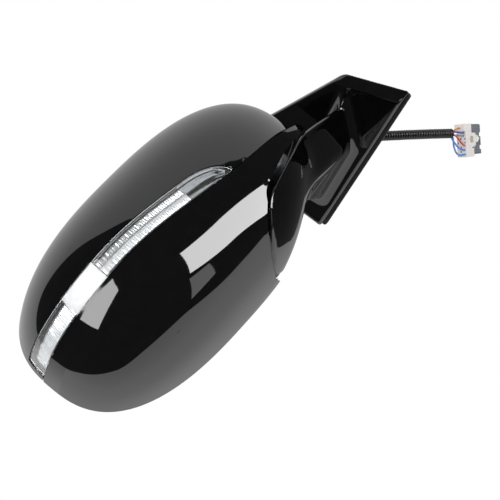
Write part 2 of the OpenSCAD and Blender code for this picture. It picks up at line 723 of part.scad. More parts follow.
// Ring of a tube: square to the path, with its first point turned towards the given side.
function tube_ring(pts, s, r, side, sides) =
    let (d = path_dir(pts, s), u = unit(cross(d, side)), v = cross(d, u), c = path_pt(pts, s))
    [for (k = [0:sides - 1]) let (a = -k * 360 / sides) c + r * (cos(a) * u + sin(a) * v)];
module tube(pts, r, side, per, sides = 8) {
    n = len(pts) - 1;
    rings = [for (i = [0:n * per]) tube_ring(pts, i / per, r, side, sides)];
    ring_skin(rings, pts[0], pts[n]);
}
function run(pts, i = 1) = i == len(pts) ? 0 : norm(pts[i] - pts[i - 1]) + run(pts, i + 1);
module conduit() color("#151516") {
    n = len(conduit_route) - 1;
    fine = [for (i = [0:n * 8]) path_pt(conduit_route, i / 8)];
    ribs = floor(run(fine) / rib_pitch);
    inner = conduit_r - rib_deep - conduit_wall;
    side = [0, -1, 1];
    outside = [
        for (i = [0:2 * ribs])
            tube_ring(conduit_route, n * i / (2 * ribs), conduit_r - (i % 2) * rib_deep, side, 8)
    ];
    inside = [for (i = [0:2 * n]) tube_ring(conduit_route, n - i / 2, inner, side, 8)];
    rings = concat(outside, inside);
    m = len(rings);
    faces = [
        for (i = [0:m - 1], j = [0:7])
            let (a = i * 8 + j, b = i * 8 + (j + 1) % 8, c = (a + 8) % (8 * m), d = (b + 8) % (8 * m))
            each [[a, b, d], [a, d, c]]
    ];
    polyhedron([for (r = rings) each r], faces);
}
module grommet() color("#151516") difference() {
    union() {
        slab_x(-bracket_t, grommet_t) circle(r = hole_r);
        slab_x(0, grommet_t) circle(r = hole_r + 3);
    }
    slab_x(-far, far) circle(r = harness_r + 0.2);
}
module arm_harness() color("#151516") tube(harness_route, harness_r, [0, 1, 0.2], 2);

// Connector frame: X along the wires, Y across the connector, Z through its thickness.
module at_plug() translate(conduit_end) rotate([0, plug_drop, 0]) rotate([-plug_roll, 0, 0]) children();
plug_low = plug_side - plug_w / 2;
// Raised upper part of the connector's back: how far it stands out and its width.
plug_step = 1.8;
step_w = 6.6;
module connector_body() color("#e9e6e4") at_plug() {
    translate([plug_back, plug_low, -plug_t / 2]) cube([plug_len, plug_w, plug_t]);
    translate([plug_back - plug_step, plug_low, -plug_t / 2]) cube([plug_step + eps, step_w, plug_t]);
}
lock_len = 7.2;
lock_in = 0.8;
notch_at = [7.8, 18.8];
notch_w = 3.3;
notch_deep = 1.7;
module connector_lock() color("#5b6067") at_plug() difference() {
    translate([plug_back + plug_len, plug_low + lock_in, -plug_t / 2 + lock_in])
        cube([lock_len, plug_w - 4 * lock_in, plug_t - 2 * lock_in]);
    for (y = notch_at) translate([plug_back + plug_len + lock_len - notch_deep, plug_low + y, -plug_t])
        cube([far, notch_w, 2 * plug_t]);
}
// A wire from the conduit's mouth to the connector's back, through points in the connector's frame.
module wire(pts, paint) color(paint) at_plug() tube(pts, wire_r, [0, 0, 1], 2);
module wire_orange() wire(
    [
        [0.1, -1.2, 1.2], [3.7, -2.6, 0.4], [6.6, -4, -0.7], [8.5, -4.3, -1],
        [plug_back - plug_step, -4.3, -1]
    ], "#e8963a"
);
module wire_navy() wire(
    [[0.1, -1.2, -0.9], [4.1, -1, -2.4], [7.3, -0.2, -4], [9.8, -0.1, -4.4], [plug_back, -0.1, -4.4]],
    "#2c3f9c"
);
module wire_grey() wire(
    [[0.1, 0.8, 1.4], [4.1, 1.7, -0.5], [7.3, 2.3, -3], [9.8, 2.4, -3.6], [plug_back, 2.4, -3.6]], "#8b9096"
);
module wire_red() wire(
    [[0.1, 0.8, -1.4], [3.5, 3.1, -3], [6.8, 8, -4.2], [9.6, 10.8, -4.4], [plug_back, 10.8, -4.4]], "#d2413f"
);
module wire_blue() {
    wire([
        [1.3, 3.1, 1.4], [2.6, 6.9, 0.4], [5.4, 12.2, -1.9], [8.6, 14.5, -3.8], [9.8, 14.7, -4],
        [plug_back, 14.7, -4]
    ], "#3d78d2");
    wire([
        [1.2, 3.4, -1], [0.9, 7.1, -1.5], [0.8, 11.7, -2], [2.3, 16.9, -2.8], [5.6, 19.3, -3.5],
        [8.7, 18.9, -4], [9.9, 18.7, -4.1], [plug_back, 18.7, -4.1]
    ], "#3d78d2");
}

// Glass actuator
jack_at = [[tilt_x, tilt_z - jack_arm], [tilt_x + jack_arm, tilt_z]];
case_screws = [[tilt_x - 22, tilt_z + 22], [tilt_x + 38, tilt_z + 20], [tilt_x - 22, tilt_z - 30]];
module at_tilt() translate([tilt_x, tilt_y, tilt_z]) children();
module actuator_outline(inset) offset(delta = -inset) hull() {
    for (p = case_screws) translate(p) circle(r = 6, $fn = 32);
    for (p = jack_at) translate(p) circle(r = case_r, $fn = 32);
}
actuator_floor = 3;
module actuator_case() color(satin_black) in_head() difference() {
    union() {
        difference() {
            slab_y(case_y0 + actuator_floor, case_y1) actuator_outline(0);
            slab_y(case_y0, case_y1 - actuator_floor) actuator_outline(actuator_floor);
        }
        for (p = jack_at) slab_y(case_y0 + actuator_floor, case_y1) translate(p) circle(r = jack_r + 2.4);
        for (p = case_screws) slab_y(case_y0 + actuator_floor, case_y1) translate(p) circle(r = screw_r + 2);
        for (s = [-1, 1]) at_tilt() translate([s * (ear_in + ear_t / 2), 0, 0]) fork_ear();
    }
    for (p = jack_at) slab_y(-far, far) translate(p) circle(r = jack_r + run_fit);
    for (p = case_screws) slab_y(-far, case_y1 - 4) translate(p) circle(r = screw_r);
    at_tilt() rotate([0, 90, 0]) cylinder(r = cross_pin + run_fit, h = 2 * cross_half + 4, center = true);
}
module fork_ear() translate([-ear_t / 2, case_y1 - tilt_y - eps, -4])
    cube([ear_t, tilt_y - case_y1 + 3.5 + eps, 8]);
module actuator_lid() color(satin_black) in_head() difference() {
    slab_y(case_y0, case_y0 + actuator_floor) actuator_outline(0);
    for (p = jack_at) slab_y(-far, far) translate(p) circle(r = jack_r + 0.6);
    for (p = case_screws) slab_y(-far, far) translate(p) circle(r = screw_r + 0.2);
}
module small_motor(p) in_head() translate([p[0], case_y0 + actuator_floor + 8.2, p[1]]) rotate([0, 90, 0]) {
    cylinder(r = 8, h = 20, center = true);
    cylinder(r = 1.5, h = 27, center = true);
}
module tilt_motor() color(steel) small_motor([tilt_x - 4, tilt_z + 14]);
module pan_motor() color(steel) small_motor([tilt_x + 2, tilt_z - 10]);
module jack(p) color("#d8d3c4") in_head() translate([p[0], tilt_y, p[1]]) {
    rotate([90, 0, 0]) cylinder(r = jack_r, h = tilt_y - case_y0 - jack_travel + 1.5);
    sphere(r = jack_ball);
}
module tilt_plunger() jack(jack_at[0]);
module pan_plunger() jack(jack_at[1]);
module pivot_cross() color(steel) in_head() at_tilt() {
    sphere(r = 5);
    rotate([0, 90, 0]) cylinder(r = cross_pin, h = 2 * cross_half, center = true);
    cylinder(r = cross_pin, h = 2 * cross_half, center = true);
}
module frame_screws() color(steel) in_head() for (p = case_screws) {
    slab_y(frame_y0, case_y1 - 5) translate(p) circle(r = screw_r);
    slab_y(frame_y0 - 2.4, frame_y0) translate(p) circle(r = screw_head);
}
wiring_route = [
    [pivot_in, -pivot_fwd, harness_top - head_z + 0.3], [pivot_in, -pivot_fwd, 38],
    [pivot_in - 4, 1.5 - pivot_fwd, 42.5], [pivot_in - 13, 5 - pivot_fwd, 44],
    [pivot_in - 29, 9 - pivot_fwd, 43], [40, -34, 41], [16, -34, 39.5], [0, -34, 38], [-14, -35, 36],
    [-19, -36, 32], [-20, -36, 27.9]
];
module head_wiring() color("#151516") in_head() tube(wiring_route, 2.4, [0, 1, 0.3], 2);

// Glass and its holder
holder_y = -heater_t - holder_t;
module glass_holder() color(satin_black) in_head() difference() {
    union() {
        slab_y(holder_y, -heater_t) glass_outline(1);
        for (p = jack_at) slab_y(tilt_y - 2.5, holder_y + eps) translate(p) circle(r = jack_ball + 3.2);
        for (s = [-1, 1]) at_tilt() translate([-4, -3.5, s * (ear_in + ear_t / 2) - ear_t / 2])
            cube([8, holder_y - tilt_y + 3.5 + eps, ear_t]);
    }
    for (p = jack_at) slab_y(-far, holder_y - 0.6) translate(p) circle(r = jack_ball + 1.4);
    at_tilt() cylinder(r = cross_pin + run_fit, h = 2 * cross_half + 4, center = true);
}
module heater_pad() color("#3b3b3b") in_head() slab_y(-heater_t, 0) glass_outline(-3);
module mirror_glass() color("#cfd6dc") in_head() slab_y(0, glass_t) glass_outline(0);

base_bracket();
base_cover();
sail_gasket();
mount_studs();
cover_screws();
pivot_shaft();
detent_ring();
fold_gear();
clutch_spring();
spring_retainer();
service_cap();
grommet();
arm_harness();
conduit();
wire_orange();
wire_navy();
wire_grey();
wire_red();
wire_blue();
connector_body();
connector_lock();
head_frame();
fold_case();
fold_case_lid();
fold_motor();
fold_worm();
upper_cap();
lower_cover();
fold_shroud();
rear_housing();
bezel();
lamp_lens();
lamp_housing();
light_guide();
lamp_board();
actuator_case();
actuator_lid();
tilt_motor();
pan_motor();
tilt_plunger();
pan_plunger();
pivot_cross();
frame_screws();
head_wiring();
glass_holder();
heater_pad();
mirror_glass();
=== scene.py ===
"""Looks of a power-folding car door mirror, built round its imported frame.

Shapes are worked out in millimetres, most of them in the head's own frame: x along the head's length
(inboard is positive), y to the rear, z up, from the middle of the rear rim. to_row() puts them in the
shared frame, in metres.
"""
import math
import bmesh
import bpy
import numpy as np
from mathutils import Matrix


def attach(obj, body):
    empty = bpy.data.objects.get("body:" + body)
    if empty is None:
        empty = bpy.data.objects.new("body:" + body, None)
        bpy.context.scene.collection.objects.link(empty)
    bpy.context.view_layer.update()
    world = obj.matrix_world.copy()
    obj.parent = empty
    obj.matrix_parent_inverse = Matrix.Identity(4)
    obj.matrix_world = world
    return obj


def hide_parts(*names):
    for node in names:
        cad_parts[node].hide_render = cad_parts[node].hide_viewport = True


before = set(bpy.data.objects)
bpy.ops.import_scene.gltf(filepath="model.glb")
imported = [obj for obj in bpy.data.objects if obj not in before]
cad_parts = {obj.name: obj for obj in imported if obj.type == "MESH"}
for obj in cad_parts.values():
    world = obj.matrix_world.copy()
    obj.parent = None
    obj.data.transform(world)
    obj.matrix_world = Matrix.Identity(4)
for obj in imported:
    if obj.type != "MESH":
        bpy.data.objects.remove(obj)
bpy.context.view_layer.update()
MM = 0.001
# Longer than the whole part, to leave a place out of a field
FAR = 300.0

# Head: a superellipsoid cut off at the rear rim
HEAD = np.array([138.0, 96.0, 72.0])
POWER = 2 / 0.76
SKIN = 2.6
SEAM = 0.4
SWEEP = math.radians(18)
ARM_REACH = 100.0
PIVOT_SIDE = 20.0
PIVOT_IN = 95.0
PIVOT_FWD = 45.0
HEAD_Z = 28.0
# Seam between the two covers, and the lamp's window above it
SPLIT_HIGH = 8.3
SPLIT_FALL = 14.5
SPLIT_HALF = 75.0
LENS_H = 16.0
LENS_TIP = 43.0
LENS_NOSE = 33.0
LENS_END = 6.0
LENS_SINK = 0.3
LENS_WALL = 2.2
LENS_LIP = 0.35
LENS_LOW = 0.1
# Parting between the head and its foot
PART_Z = -24.6
PART_RISE = 0.26
FOLD_GAP = 5.6
REAR_FLOOR = -11.0
REAR_OPEN = 25.0
REAR_EASE = 4.0
PART_EASE = 6.0
FOOT_WALL = np.array([
    [54, -76.6], [64, -67], [67, -62], [67.5, -52], [64, -42], [60, -36.6], [58, -30], [56, 0],
])
FOOT_BACK = 17.0
FOOT_LIFT = 0.11
FOOT_RISE = (50.0, 110.0)
FOOT_ROUND = 3.0
STEP_X = -20.0
STEP_Y = 8.0
# Tongue of the foot inside the parting; it comes nearer to the skin at its lower end
TONGUE_IN = 4.2
TONGUE_GAP = 1.6
TONGUE_RISE = 3.2
TONGUE_LOW = -46.0
TONGUE_FADE = 12.0
TONGUE_ROOT = 5.0
TONGUE_TOP = 0.2
# Lips of the covers, and the horn that draws the lower cover out over the arm
CAP_LIP = 0.7
COVER_LIP = 1.5
COVER_ROUND = 5.0
CAP_STEPS = 220
FINE_STEPS = 260
HORN = np.array([8.7, 0.0, -3.2])
HORN_FROM = (84.0, -30.0, -34.0)
HORN_OVER = (34.0, 30.0, 24.0)
# Sail, arm and service cap of the base
SAIL = np.array([[-88, -31.5], [-63.2, 21.2], [80, 86], [75, -29]])
SAIL_T = 12.0
SAIL_SLANT = 0.8
SLANT_OUT = 0.8
SAIL_ROUND = 3.0
SAIL_LIP = 2.0
SAIL_FRONT = 6.0
GASKET_T = 3.0
BASE_WALL = 3.0
ARM_LOW = -17.2
ARM_ROOT = np.array([[-50, 9.5], [-18.5, ARM_LOW], [48, ARM_LOW], [52, 7]])
ARM_NECK = np.array([[-50.5, 13], [-18.5, ARM_LOW], [18, ARM_LOW], [22, 8]])
ARM_END = np.array([[-45, 12], [-18.5, ARM_LOW], [10, ARM_LOW], [14, 8]])
ARM_FAR = np.array([[-55, 7], [-32, -9], [0, -12], [10, 4]])
ARM_FRONT_ROUND = 5.0
ARM_REAR_ROUND = 12.0
ARM_SIDE_ROUND = 9.0
ARM_BLEND = 9.0
ARM_SUNK = 1.0
NECK_D = 63.0
END_D = 88.0
FAR_D = 124.0
CAP_ENDS = np.array([[-51.0, 16.0], [-43.0, 3.0]])
CAP_R = 6.5
# Grids for the base and its tongue, and how points move onto the skin
BASE_LOW = (-185, -122, -52)
BASE_HIGH = (0, 88, 92)
TONGUE_HIGH = (-30, 88, 40)
NET_STEP = 1.25
NET_PASSES = 4
NET_REACH = 0.4
NET_FLAT = 0.05
# Glass and bezel
GLASS_OUT = 124.0
GLASS_IN = 34.0
GLASS_HALF_H = 57.0
GLASS_MID_Z = 1.0
GLASS_T = 2.0
GLASS_GAP = 4.5
BEZEL_DEEP = 12.0
PLATE_T = 3.0
# Conduit and connector
CONDUIT_R = 4.2
RIB_DEEP = 1.2
RIB_PITCH = 2.6
RIB_FLAT = 2.2
CONDUIT_BORE = 2.8
CONDUIT_SIDES = 28
CONDUIT_ROUTE = np.array([
    [2.5, 0, 0], [7, 0, 0], [12.5, 0, -1.6], [20, 0, -7.2], [29.5, 0, -14.9], [39.1, 0, -22.2],
    [47.2, 0, -27.4], [55.3, 0, -32.6], [63.5, 0, -37.8], [71.6, 0, -43.1], [79.8, 0, -48.4],
    [87.9, 0, -53.7], [96, 0, -59.1], [104.2, 0, -64.6],
])
WIRE_R = 0.8
WIRE_SIDES = 12
PLUG_DROP = math.radians(33.5)
PLUG_ROLL = math.radians(52)
PLUG_BACK = 10.8
PLUG_LEN = 9.6
PLUG_LOW = -7.75
PLUG_W = 28.5
PLUG_T = 13.0
PLUG_STEP = 1.8
LOCK_LEN = 7.2


# Small helpers

def linear(hex_colour):
    """sRGB hex to a linear RGBA colour."""
    parts = [int(hex_colour[i:i + 2], 16) / 255 for i in (1, 3, 5)]
    return [c / 12.92 if c <= 0.04045 else ((c + 0.055) / 1.055) ** 2.4 for c in parts] + [1.0]


def smooth(t):
    """Smooth step from 0 to 1."""
    c = np.clip(t, 0.0, 1.0)
    return c * c * (3 - 2 * c)


def unit(v):
    """Vectors scaled to length 1."""
    return v / np.maximum(np.linalg.norm(v, axis=-1, keepdims=True), 1e-12)


def to_row(points):
    """Head frame in mm to the shared frame in metres: shift to the fold axis, turn by the sweep."""
    u = points[..., 0] - PIVOT_IN
    v = points[..., 1] + PIVOT_FWD
    x = u * math.cos(SWEEP) + v * math.sin(SWEEP) - ARM_REACH
    y = v * math.cos(SWEEP) - u * math.sin(SWEEP) - PIVOT_SIDE
    return np.stack([x, y, points[..., 2] + HEAD_Z], -1) * MM


def as_row(points):
    """Shared frame in millimetres to metres."""
    return np.asarray(points, float) * MM


# Meshes

def make_piece(name, points, faces, body, material, replaces=(), sharp=40, normals=None):
    """A mesh from points in metres and a list of face arrays; it rides on a body of the frame."""
    mesh = bpy.data.meshes.new(name)
    corners = [face for part in faces for face in np.asarray(part).tolist()]
    mesh.from_pydata(np.asarray(points).tolist(), [], corners)
    mesh.validate()
    skin = bmesh.new()
    skin.from_mesh(mesh)
    bmesh.ops.recalc_face_normals(skin, faces=skin.faces)
    skin.to_mesh(mesh)
    skin.free()
    mesh.polygons.foreach_set("use_smooth", np.ones(len(mesh.polygons), bool))
    mesh.set_sharp_from_angle(angle=math.radians(sharp))
    if normals is not None:
        mesh.normals_split_custom_set_from_vertices(normals.tolist())
    mesh.materials.append(material)
    piece = bpy.data.objects.new(name, mesh)
    bpy.context.scene.collection.objects.link(piece)
    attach(piece, body)
    if replaces:
        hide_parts(*replaces)
    return piece


def join_parts(parts):
    """Several (points, faces) sets as one set."""
    points = []
    faces = []
    base = 0
    for part_points, part_faces in parts:
        points.append(np.asarray(part_points).reshape(-1, 3))
        faces.extend(np.asarray(f) + base for f in part_faces)
        base += len(points[-1])
    return np.concatenate(points), faces


def grid_quads(rows, cols, around=False, closed=False):
    """Faces of a rows by cols grid; around joins the last column to the first, closed the last row."""
    i = np.arange(rows if closed else rows - 1)
    j = np.arange(cols if around else cols - 1)
    i, j = np.meshgrid(i, j, indexing="ij")
    a = i * cols + j
    b = i * cols + (j + 1) % cols
    c = (i + 1) % rows * cols + (j + 1) % cols
    d = (i + 1) % rows * cols + j
    return np.stack([a, b, c, d], -1).reshape(-1, 4)


def grid_tris(rows, cols):
    """The grid's faces, each halved along a diagonal."""
    quads = grid_quads(rows, cols)
    return np.concatenate([quads[:, [0, 1, 2]], quads[:, [0, 2, 3]]])


def trim(params, tris, field):
    """Keeps the part of a triangle grid where field is positive.

    A triangle that the border crosses is cut where field, taken as straight along its edges, is zero.
    """
    inside = field > 0
    count = inside[tris].sum(1)
    whole = tris[count == 3]
    made_pairs = []
    turned = []
    for wanted in (1, 2):
        cut = tris[count == wanted]
        odd = np.argmax(inside[cut] == (wanted == 1), axis=1)
        turned.append(np.stack([cut[np.arange(len(cut)), (odd + k) % 3] for k in range(3)], -1))
        made_pairs += [turned[-1][:, [0, 1]], turned[-1][:, [0, 2]]]
    pairs = np.sort(np.concatenate(made_pairs), axis=1)
    unique, index = np.unique(pairs, axis=0, return_inverse=True)
    index = index.reshape(-1) + len(params)
    a, b = unique[:, 0], unique[:, 1]
    share = field[a] / (field[a] - field[b])
    params = np.concatenate([params, params[a] + share[:, None] * (params[b] - params[a])])
    one, two = len(turned[0]), len(turned[1])
    first, second = index[:one], index[one:2 * one]
    third, fourth = index[2 * one:2 * one + two], index[2 * one + two:]
    tips = np.stack([turned[0][:, 0], first, second], -1)
    bands = np.concatenate([
        np.stack([third, turned[1][:, 1], turned[1][:, 2]], -1),
        np.stack([third, turned[1][:, 2], fourth], -1),
    ])
    tris = np.concatenate([whole, tips, bands])
    used, tris = np.unique(tris, return_inverse=True)
    return params[used], tris.reshape(-1, 3)


def weld(points, tris):
    """Joins points that coincide and drops the triangles that collapse."""
    _, first, index = np.unique(np.round(points, 5), axis=0, return_index=True, return_inverse=True)
    tris = index.reshape(-1)[tris]
    good = (tris[:, 0] != tris[:, 1]) & (tris[:, 1] != tris[:, 2]) & (tris[:, 0] != tris[:, 2])
    return points[first], tris[good]


def vertex_normals(points, tris):
    """Mean normal of the triangles round each point, weighed by area."""
    a, b, c = (points[tris[:, k]] for k in range(3))
    face = np.cross(b - a, c - a)
    total = np.zeros_like(points)
    for k in range(3):
        np.add.at(total, tris[:, k], face)
    return unit(total)


def shell(points, tris, wall, lip, turns=4):
    """Closed wall from a surface: outer skin, a rounded lip round every border, and the inner skin.

    Each border point has a direction that leads away from the surface; the lip is a quarter circle of
    radius lip from the skin to that direction, and the wall then runs straight in.
    """
    normals = vertex_normals(points, tris)
    edges = np.concatenate([tris[:, [0, 1]], tris[:, [1, 2]], tris[:, [2, 0]]])
    size = len(points)
    codes = edges[:, 0] * size + edges[:, 1]
    rim = edges[~np.isin(codes, edges[:, 1] * size + edges[:, 0])]
    away = np.zeros_like(points)
    step = unit(np.cross(points[rim[:, 1]] - points[rim[:, 0]], normals[rim[:, 0]]))
    np.add.at(away, rim[:, 0], step)
    np.add.at(away, rim[:, 1], step)
    away = unit(away)
    border = np.unique(rim)
    place = np.full(size, -1)
    place[border] = np.arange(len(border))
    layers = [points]
    for k in range(1, turns + 1):
        angle = math.pi / 2 * k / turns
        layers.append(
            points[border] + lip * math.sin(angle) * away[border]
            - lip * (1 - math.cos(angle)) * normals[border]
        )
    inner = points - wall * normals
    inner[border] += lip * away[border]
    layers.append(inner)
    inner_start = size + turns * len(border)
    faces = [tris]
    before = rim
    for after in [place[rim] + size + k * len(border) for k in range(turns)] + [rim + inner_start]:
        faces.append(np.stack([before[:, 1], before[:, 0], after[:, 0], after[:, 1]], -1))
        before = after
    faces.append(tris[:, ::-1] + inner_start)
    return np.concatenate(layers), faces


def capped_rings(rows, cols, turn=1):
    """Faces of rings in a row, closed by flat ends; a turn of -1 faces them the other way."""
    first = np.arange(cols)[None, ::-turn]
    last = (rows - 1) * cols + np.arange(cols)[None, ::turn]
    return [grid_quads(rows, cols, around=True)[:, ::turn], first, last]


def rings_round(path, ahead, radii, sides, side):
    """Circles square to the directions ahead, of a given radius at each point."""
    across = unit(np.cross(ahead, side))
    up = np.cross(ahead, across)
    turn = np.linspace(0, 2 * math.pi, sides, endpoint=False)
    ring = np.cos(turn)[None, :, None] * across[:, None] + np.sin(turn)[None, :, None] * up[:, None]
    return (path[:, None] + radii[:, None, None] * ring).reshape(-1, 3)


def tube(path, radius, sides, side):
    """Rings of one radius square to a path, closed by flat ends."""
    count = len(path)
    ahead = unit(np.gradient(path, axis=0))
    points = rings_round(path, ahead, np.full(count, radius), sides, np.array(side))
    return points, capped_rings(count, sides, -1)


def curve_through(points, per):
    """Catmull-Rom curve through points, per steps between two of them."""
    points = np.asarray(points, float)
    ends = np.concatenate([[2 * points[0] - points[1]], points, [2 * points[-1] - points[-2]]])
    s = np.linspace(0, len(points) - 1, per * (len(points) - 1) + 1)
    i = np.minimum(s.astype(int), len(points) - 2)
    t = (s - i)[:, None]
    p0, p1, p2, p3 = (ends[i + k] for k in range(4))
    return 0.5 * (
        2 * p1 + (p2 - p0) * t + (2 * p0 - 5 * p1 + 4 * p2 - p3) * t ** 2
        + (3 * p1 - p0 - 3 * p2 + p3) * t ** 3
    )


def run_along(path):
    """Distance along a path at each of its points."""
    return np.concatenate([[0], np.cumsum(np.linalg.norm(np.diff(path, axis=0), axis=1))])


def slope_of(field, points, reach=0.05):
    """Gradient of a field by central differences."""
    steps = reach * np.eye(3)
    return np.stack([(field(points + d) - field(points - d)) / (2 * reach) for d in steps], -1)


def surface_net(field, low, high, step):
    """Skin where a field, positive inside, is zero.

    Each cell of a grid that the skin crosses has one point, the mean of the crossings on its edges, which
    is then moved along the field's gradient onto the skin. Each crossed edge gives a face.
    """
    axes = [np.arange(a, b + step, step) for a, b in zip(low, high)]
    yy, zz = (m.ravel() for m in np.meshgrid(axes[1], axes[2], indexing="ij"))
    layers = [field(np.stack([np.full(yy.size, x), yy, zz], -1)) for x in axes[0]]
    value = np.stack(layers).reshape([len(axis) for axis in axes])
    total = np.zeros([n - 1 for n in value.shape] + [3])
    count = np.zeros(total.shape[:3])
    edges = []
    for k in range(3):
        first = np.argwhere(np.diff(value > 0, axis=k))
        second = first + np.eye(3, dtype=int)[k]
        near, far = value[tuple(first.T)], value[tuple(second.T)]
        place = first.astype(float)
        place[:, k] += near / (near - far)
        cells = []
        for turn in ((0, 0), (1, 0), (1, 1), (0, 1)):
            cell = first.copy()
            cell[:, (k + 1) % 3] -= turn[0]
            cell[:, (k + 2) % 3] -= turn[1]
            np.add.at(total, tuple(cell.T), place)
            np.add.at(count, tuple(cell.T), 1)
            cells.append(cell)
        edges.append(cells)
    used = count > 0
    number = np.full(count.shape, -1)
    number[used] = np.arange(used.sum())
    points = total[used] / count[used][:, None] * step + np.array(low)
    most = NET_REACH * step
    for _ in range(NET_PASSES):
        slope = slope_of(field, points)
        steep = np.maximum((slope ** 2).sum(-1, keepdims=True), NET_FLAT)
        points = points - np.clip(field(points)[:, None] * slope / steep, -most, most)
    faces = [np.stack([number[tuple(cell.T)] for cell in cells], -1) for cells in edges]
    return points, faces, -unit(slope_of(field, points))


# Materials

NOISE_BAND = (0.35, 0.65)
NOISE_DETAIL = 3.0


def node(tree, kind, settings=None, links=None):
    """Adds a node, sets its properties and inputs, and links inputs to other nodes' outputs."""
    made = tree.nodes.new(kind)
    for key, value in (settings or {}).items():
        if isinstance(key, str) and hasattr(made, key):
            setattr(made, key, value)
        else:
            made.inputs[key].default_value = value
    for key, (source, output) in (links or {}).items():
        tree.links.new(source.outputs[output], made.inputs[key])
    return made


def finish(name, low, high, rough, grain_mm, bump, extra=None, rough_spread=0.04):
    """A principled material whose colour and roughness drift between two values over a noise.

    grain_mm is the size of the noise's grain, and bump the height that it gives the surface, in mm.
    """
    material = bpy.data.materials.new(name)
    material.use_nodes = True
    tree = material.node_tree
    tree.nodes.clear()
    where = node(tree, "ShaderNodeTexCoord")
    grain = {"Scale": 1 / (grain_mm * MM), "Detail": NOISE_DETAIL}
    noise = node(tree, "ShaderNodeTexNoise", grain, {"Vector": (where, "Object")})
    colour = node(tree, "ShaderNodeValToRGB", links={"Fac": (noise, "Fac")})
    for stop, place, shade in zip(colour.color_ramp.elements, NOISE_BAND, (low, high)):
        stop.position = place
        stop.color = linear(shade)
    spread = {"To Min": rough - rough_spread, "To Max": rough + rough_spread}
    gloss = node(tree, "ShaderNodeMapRange", spread, {"Value": (noise, "Fac")})
    links = {"Base Color": (colour, "Color"), "Roughness": (gloss, "Result")}
    if bump:
        relief = {"Distance": bump * MM, "Strength": 1.0}
        height = node(tree, "ShaderNodeBump", relief, {"Height": (noise, "Fac")})
        links["Normal"] = (height, "Normal")
    shader = node(tree, "ShaderNodeBsdfPrincipled", extra, links)
    node(tree, "ShaderNodeOutputMaterial", links={"Surface": (shader, "BSDF")})
    return material


# Piano-black lacquer over moulded ABS: a mirror-smooth clear coat over black, with a trace of haze.
lacquer = finish("piano_black_lacquer", "#050506", "#08080a", 0.03, 9.0, 0.0, {"IOR": 1.5}, 0.012)
# Moulded ABS with a fine spark-eroded grain: satin black that breaks up highlights.
grained_abs = finish("grained_black_abs", "#101012", "#1a1a1c", 0.45, 0.7, 0.05, {"IOR": 1.53}, 0.08)
# Glass-filled nylon: dull grey-black with pale fibres near the surface.
filled_nylon = finish("filled_nylon", "#2b2d30", "#3b3d41", 0.5, 0.9, 0.03)
# Acetal: waxy off-white gears and jacks.
acetal = finish("acetal", "#d3cebf", "#e4dfd0", 0.38, 2.0, 0.0)
# EPDM rubber: matte black with a dusty bloom.
rubber = finish("epdm_rubber", "#0c0c0d", "#19191a", 0.72, 1.2, 0.04)
# Polypropylene conduit: black with a soft sheen on the ribs.
conduit_plastic = finish("conduit_polypropylene", "#0b0b0c", "#171718", 0.4, 1.5, 0.02)
# Die-cast aluminium: grey with a cast skin.
cast_metal = finish("die_cast_aluminium", "#8c8f93", "#a3a6aa", 0.42, 0.8, 0.05, {"Metallic": 1.0})
# Zinc-plated steel: cool bright grey.
zinc_steel = finish("zinc_plated_steel", "#b4b8bd", "#c9ccd0", 0.28, 1.5, 0.0, {"Metallic": 1.0})
# Machined brass of the fold gear.
gear_brass = finish("machined_brass", "#b8923f", "#cfa955", 0.3, 1.0, 0.0, {"Metallic": 1.0})
# Vacuum-metallised ABS behind the lens: bright silver with a slight haze.
bright_silver = finish("metallised_reflector", "#e2e4e6", "#eeeff1", 0.3, 3.0, 0.0, {"Metallic": 0.7})
# Painted shade on the reflector's ridges: dull dark grey strips that draw the shaded lines between the
# flutes.
groove_shade_paint = finish("painted_groove_shade", "#2b2c2e", "#343537", 0.55, 3.0, 0.0)
# Smooth leaf of the reflector: the metal coat without haze, which mirrors dark and light.
leaf_silver = finish("smooth_reflector", "#a8abae", "#b4b7ba", 0.14, 3.0, 0.0, {"Metallic": 1.0})
# White polycarbonate light guide block.
guide_white = finish("light_guide_white", "#f2f3f4", "#fbfbfb", 0.25, 4.0, 0.0)
CLEAR = {"Transmission Weight": 1.0, "IOR": 1.49}
# Clear acrylic lens: colourless and polished.
acrylic = finish("clear_acrylic", "#fafcfd", "#ffffff", 0.02, 6.0, 0.0, CLEAR, 0.01)
# Front-silvered mirror glass with a faint cool tint.
silvered = finish("silvered_glass", "#d9e1e6", "#dfe6ea", 0.015, 30.0, 0.0, {"Metallic": 1.0}, 0.005)
# Etched heater film: dull near-black.
heater_film = finish("heater_film", "#26262a", "#303036", 0.5, 2.0, 0.0)
# Solder mask over the lamp's board: glossy green.
solder_mask = finish("board_solder_mask", "#14502c", "#1c6a3a", 0.35, 1.0, 0.02)
# Unfilled nylon of the connector's housing: warm white with a satin skin.
plug_white = finish("white_nylon", "#e4dfdc", "#f3f0ee", 0.42, 0.9, 0.02)
# Grey nylon of its lock: dull mid grey; the same grey is painted shade in the wire cavities.
plug_grey = finish("grey_nylon", "#565b62", "#666c74", 0.48, 0.9, 0.02)
# Silicone seal in the latch window: tan, with a low sheen.
tan_insert = finish("tan_seal", "#a99f8c", "#beb49f", 0.45, 1.0, 0.0)
# PVC wire insulation: two near shades of one colour, with a low sheen.
WIRE_HUES = {
    "orange": ("#dd8a2c", "#ee9f45"),
    "navy": ("#27398f", "#3349a8"),
    "grey": ("#7e838a", "#969ba1"),
    "red": ("#c33230", "#d94c49"),
    "blue": ("#3a73c9", "#568bd8"),
}
insulation = {hue: finish(hue + "_insulation", *ends, 0.38, 1.5, 0.0) for hue, ends in WIRE_HUES.items()}


# Camera at the photograph's viewpoint
CAMERA_MM = (-1052.2210, -854.1567, -195.7524)
CAMERA_AXES = (
    (0.5117411, 0.4793002, -0.7130164),
    (-0.3705411, -0.6256319, -0.6865012),
    (-0.7751260, 0.6155128, -0.1425612),
)
CAMERA_LENS = 119.19
CAMERA_SENSOR = 36


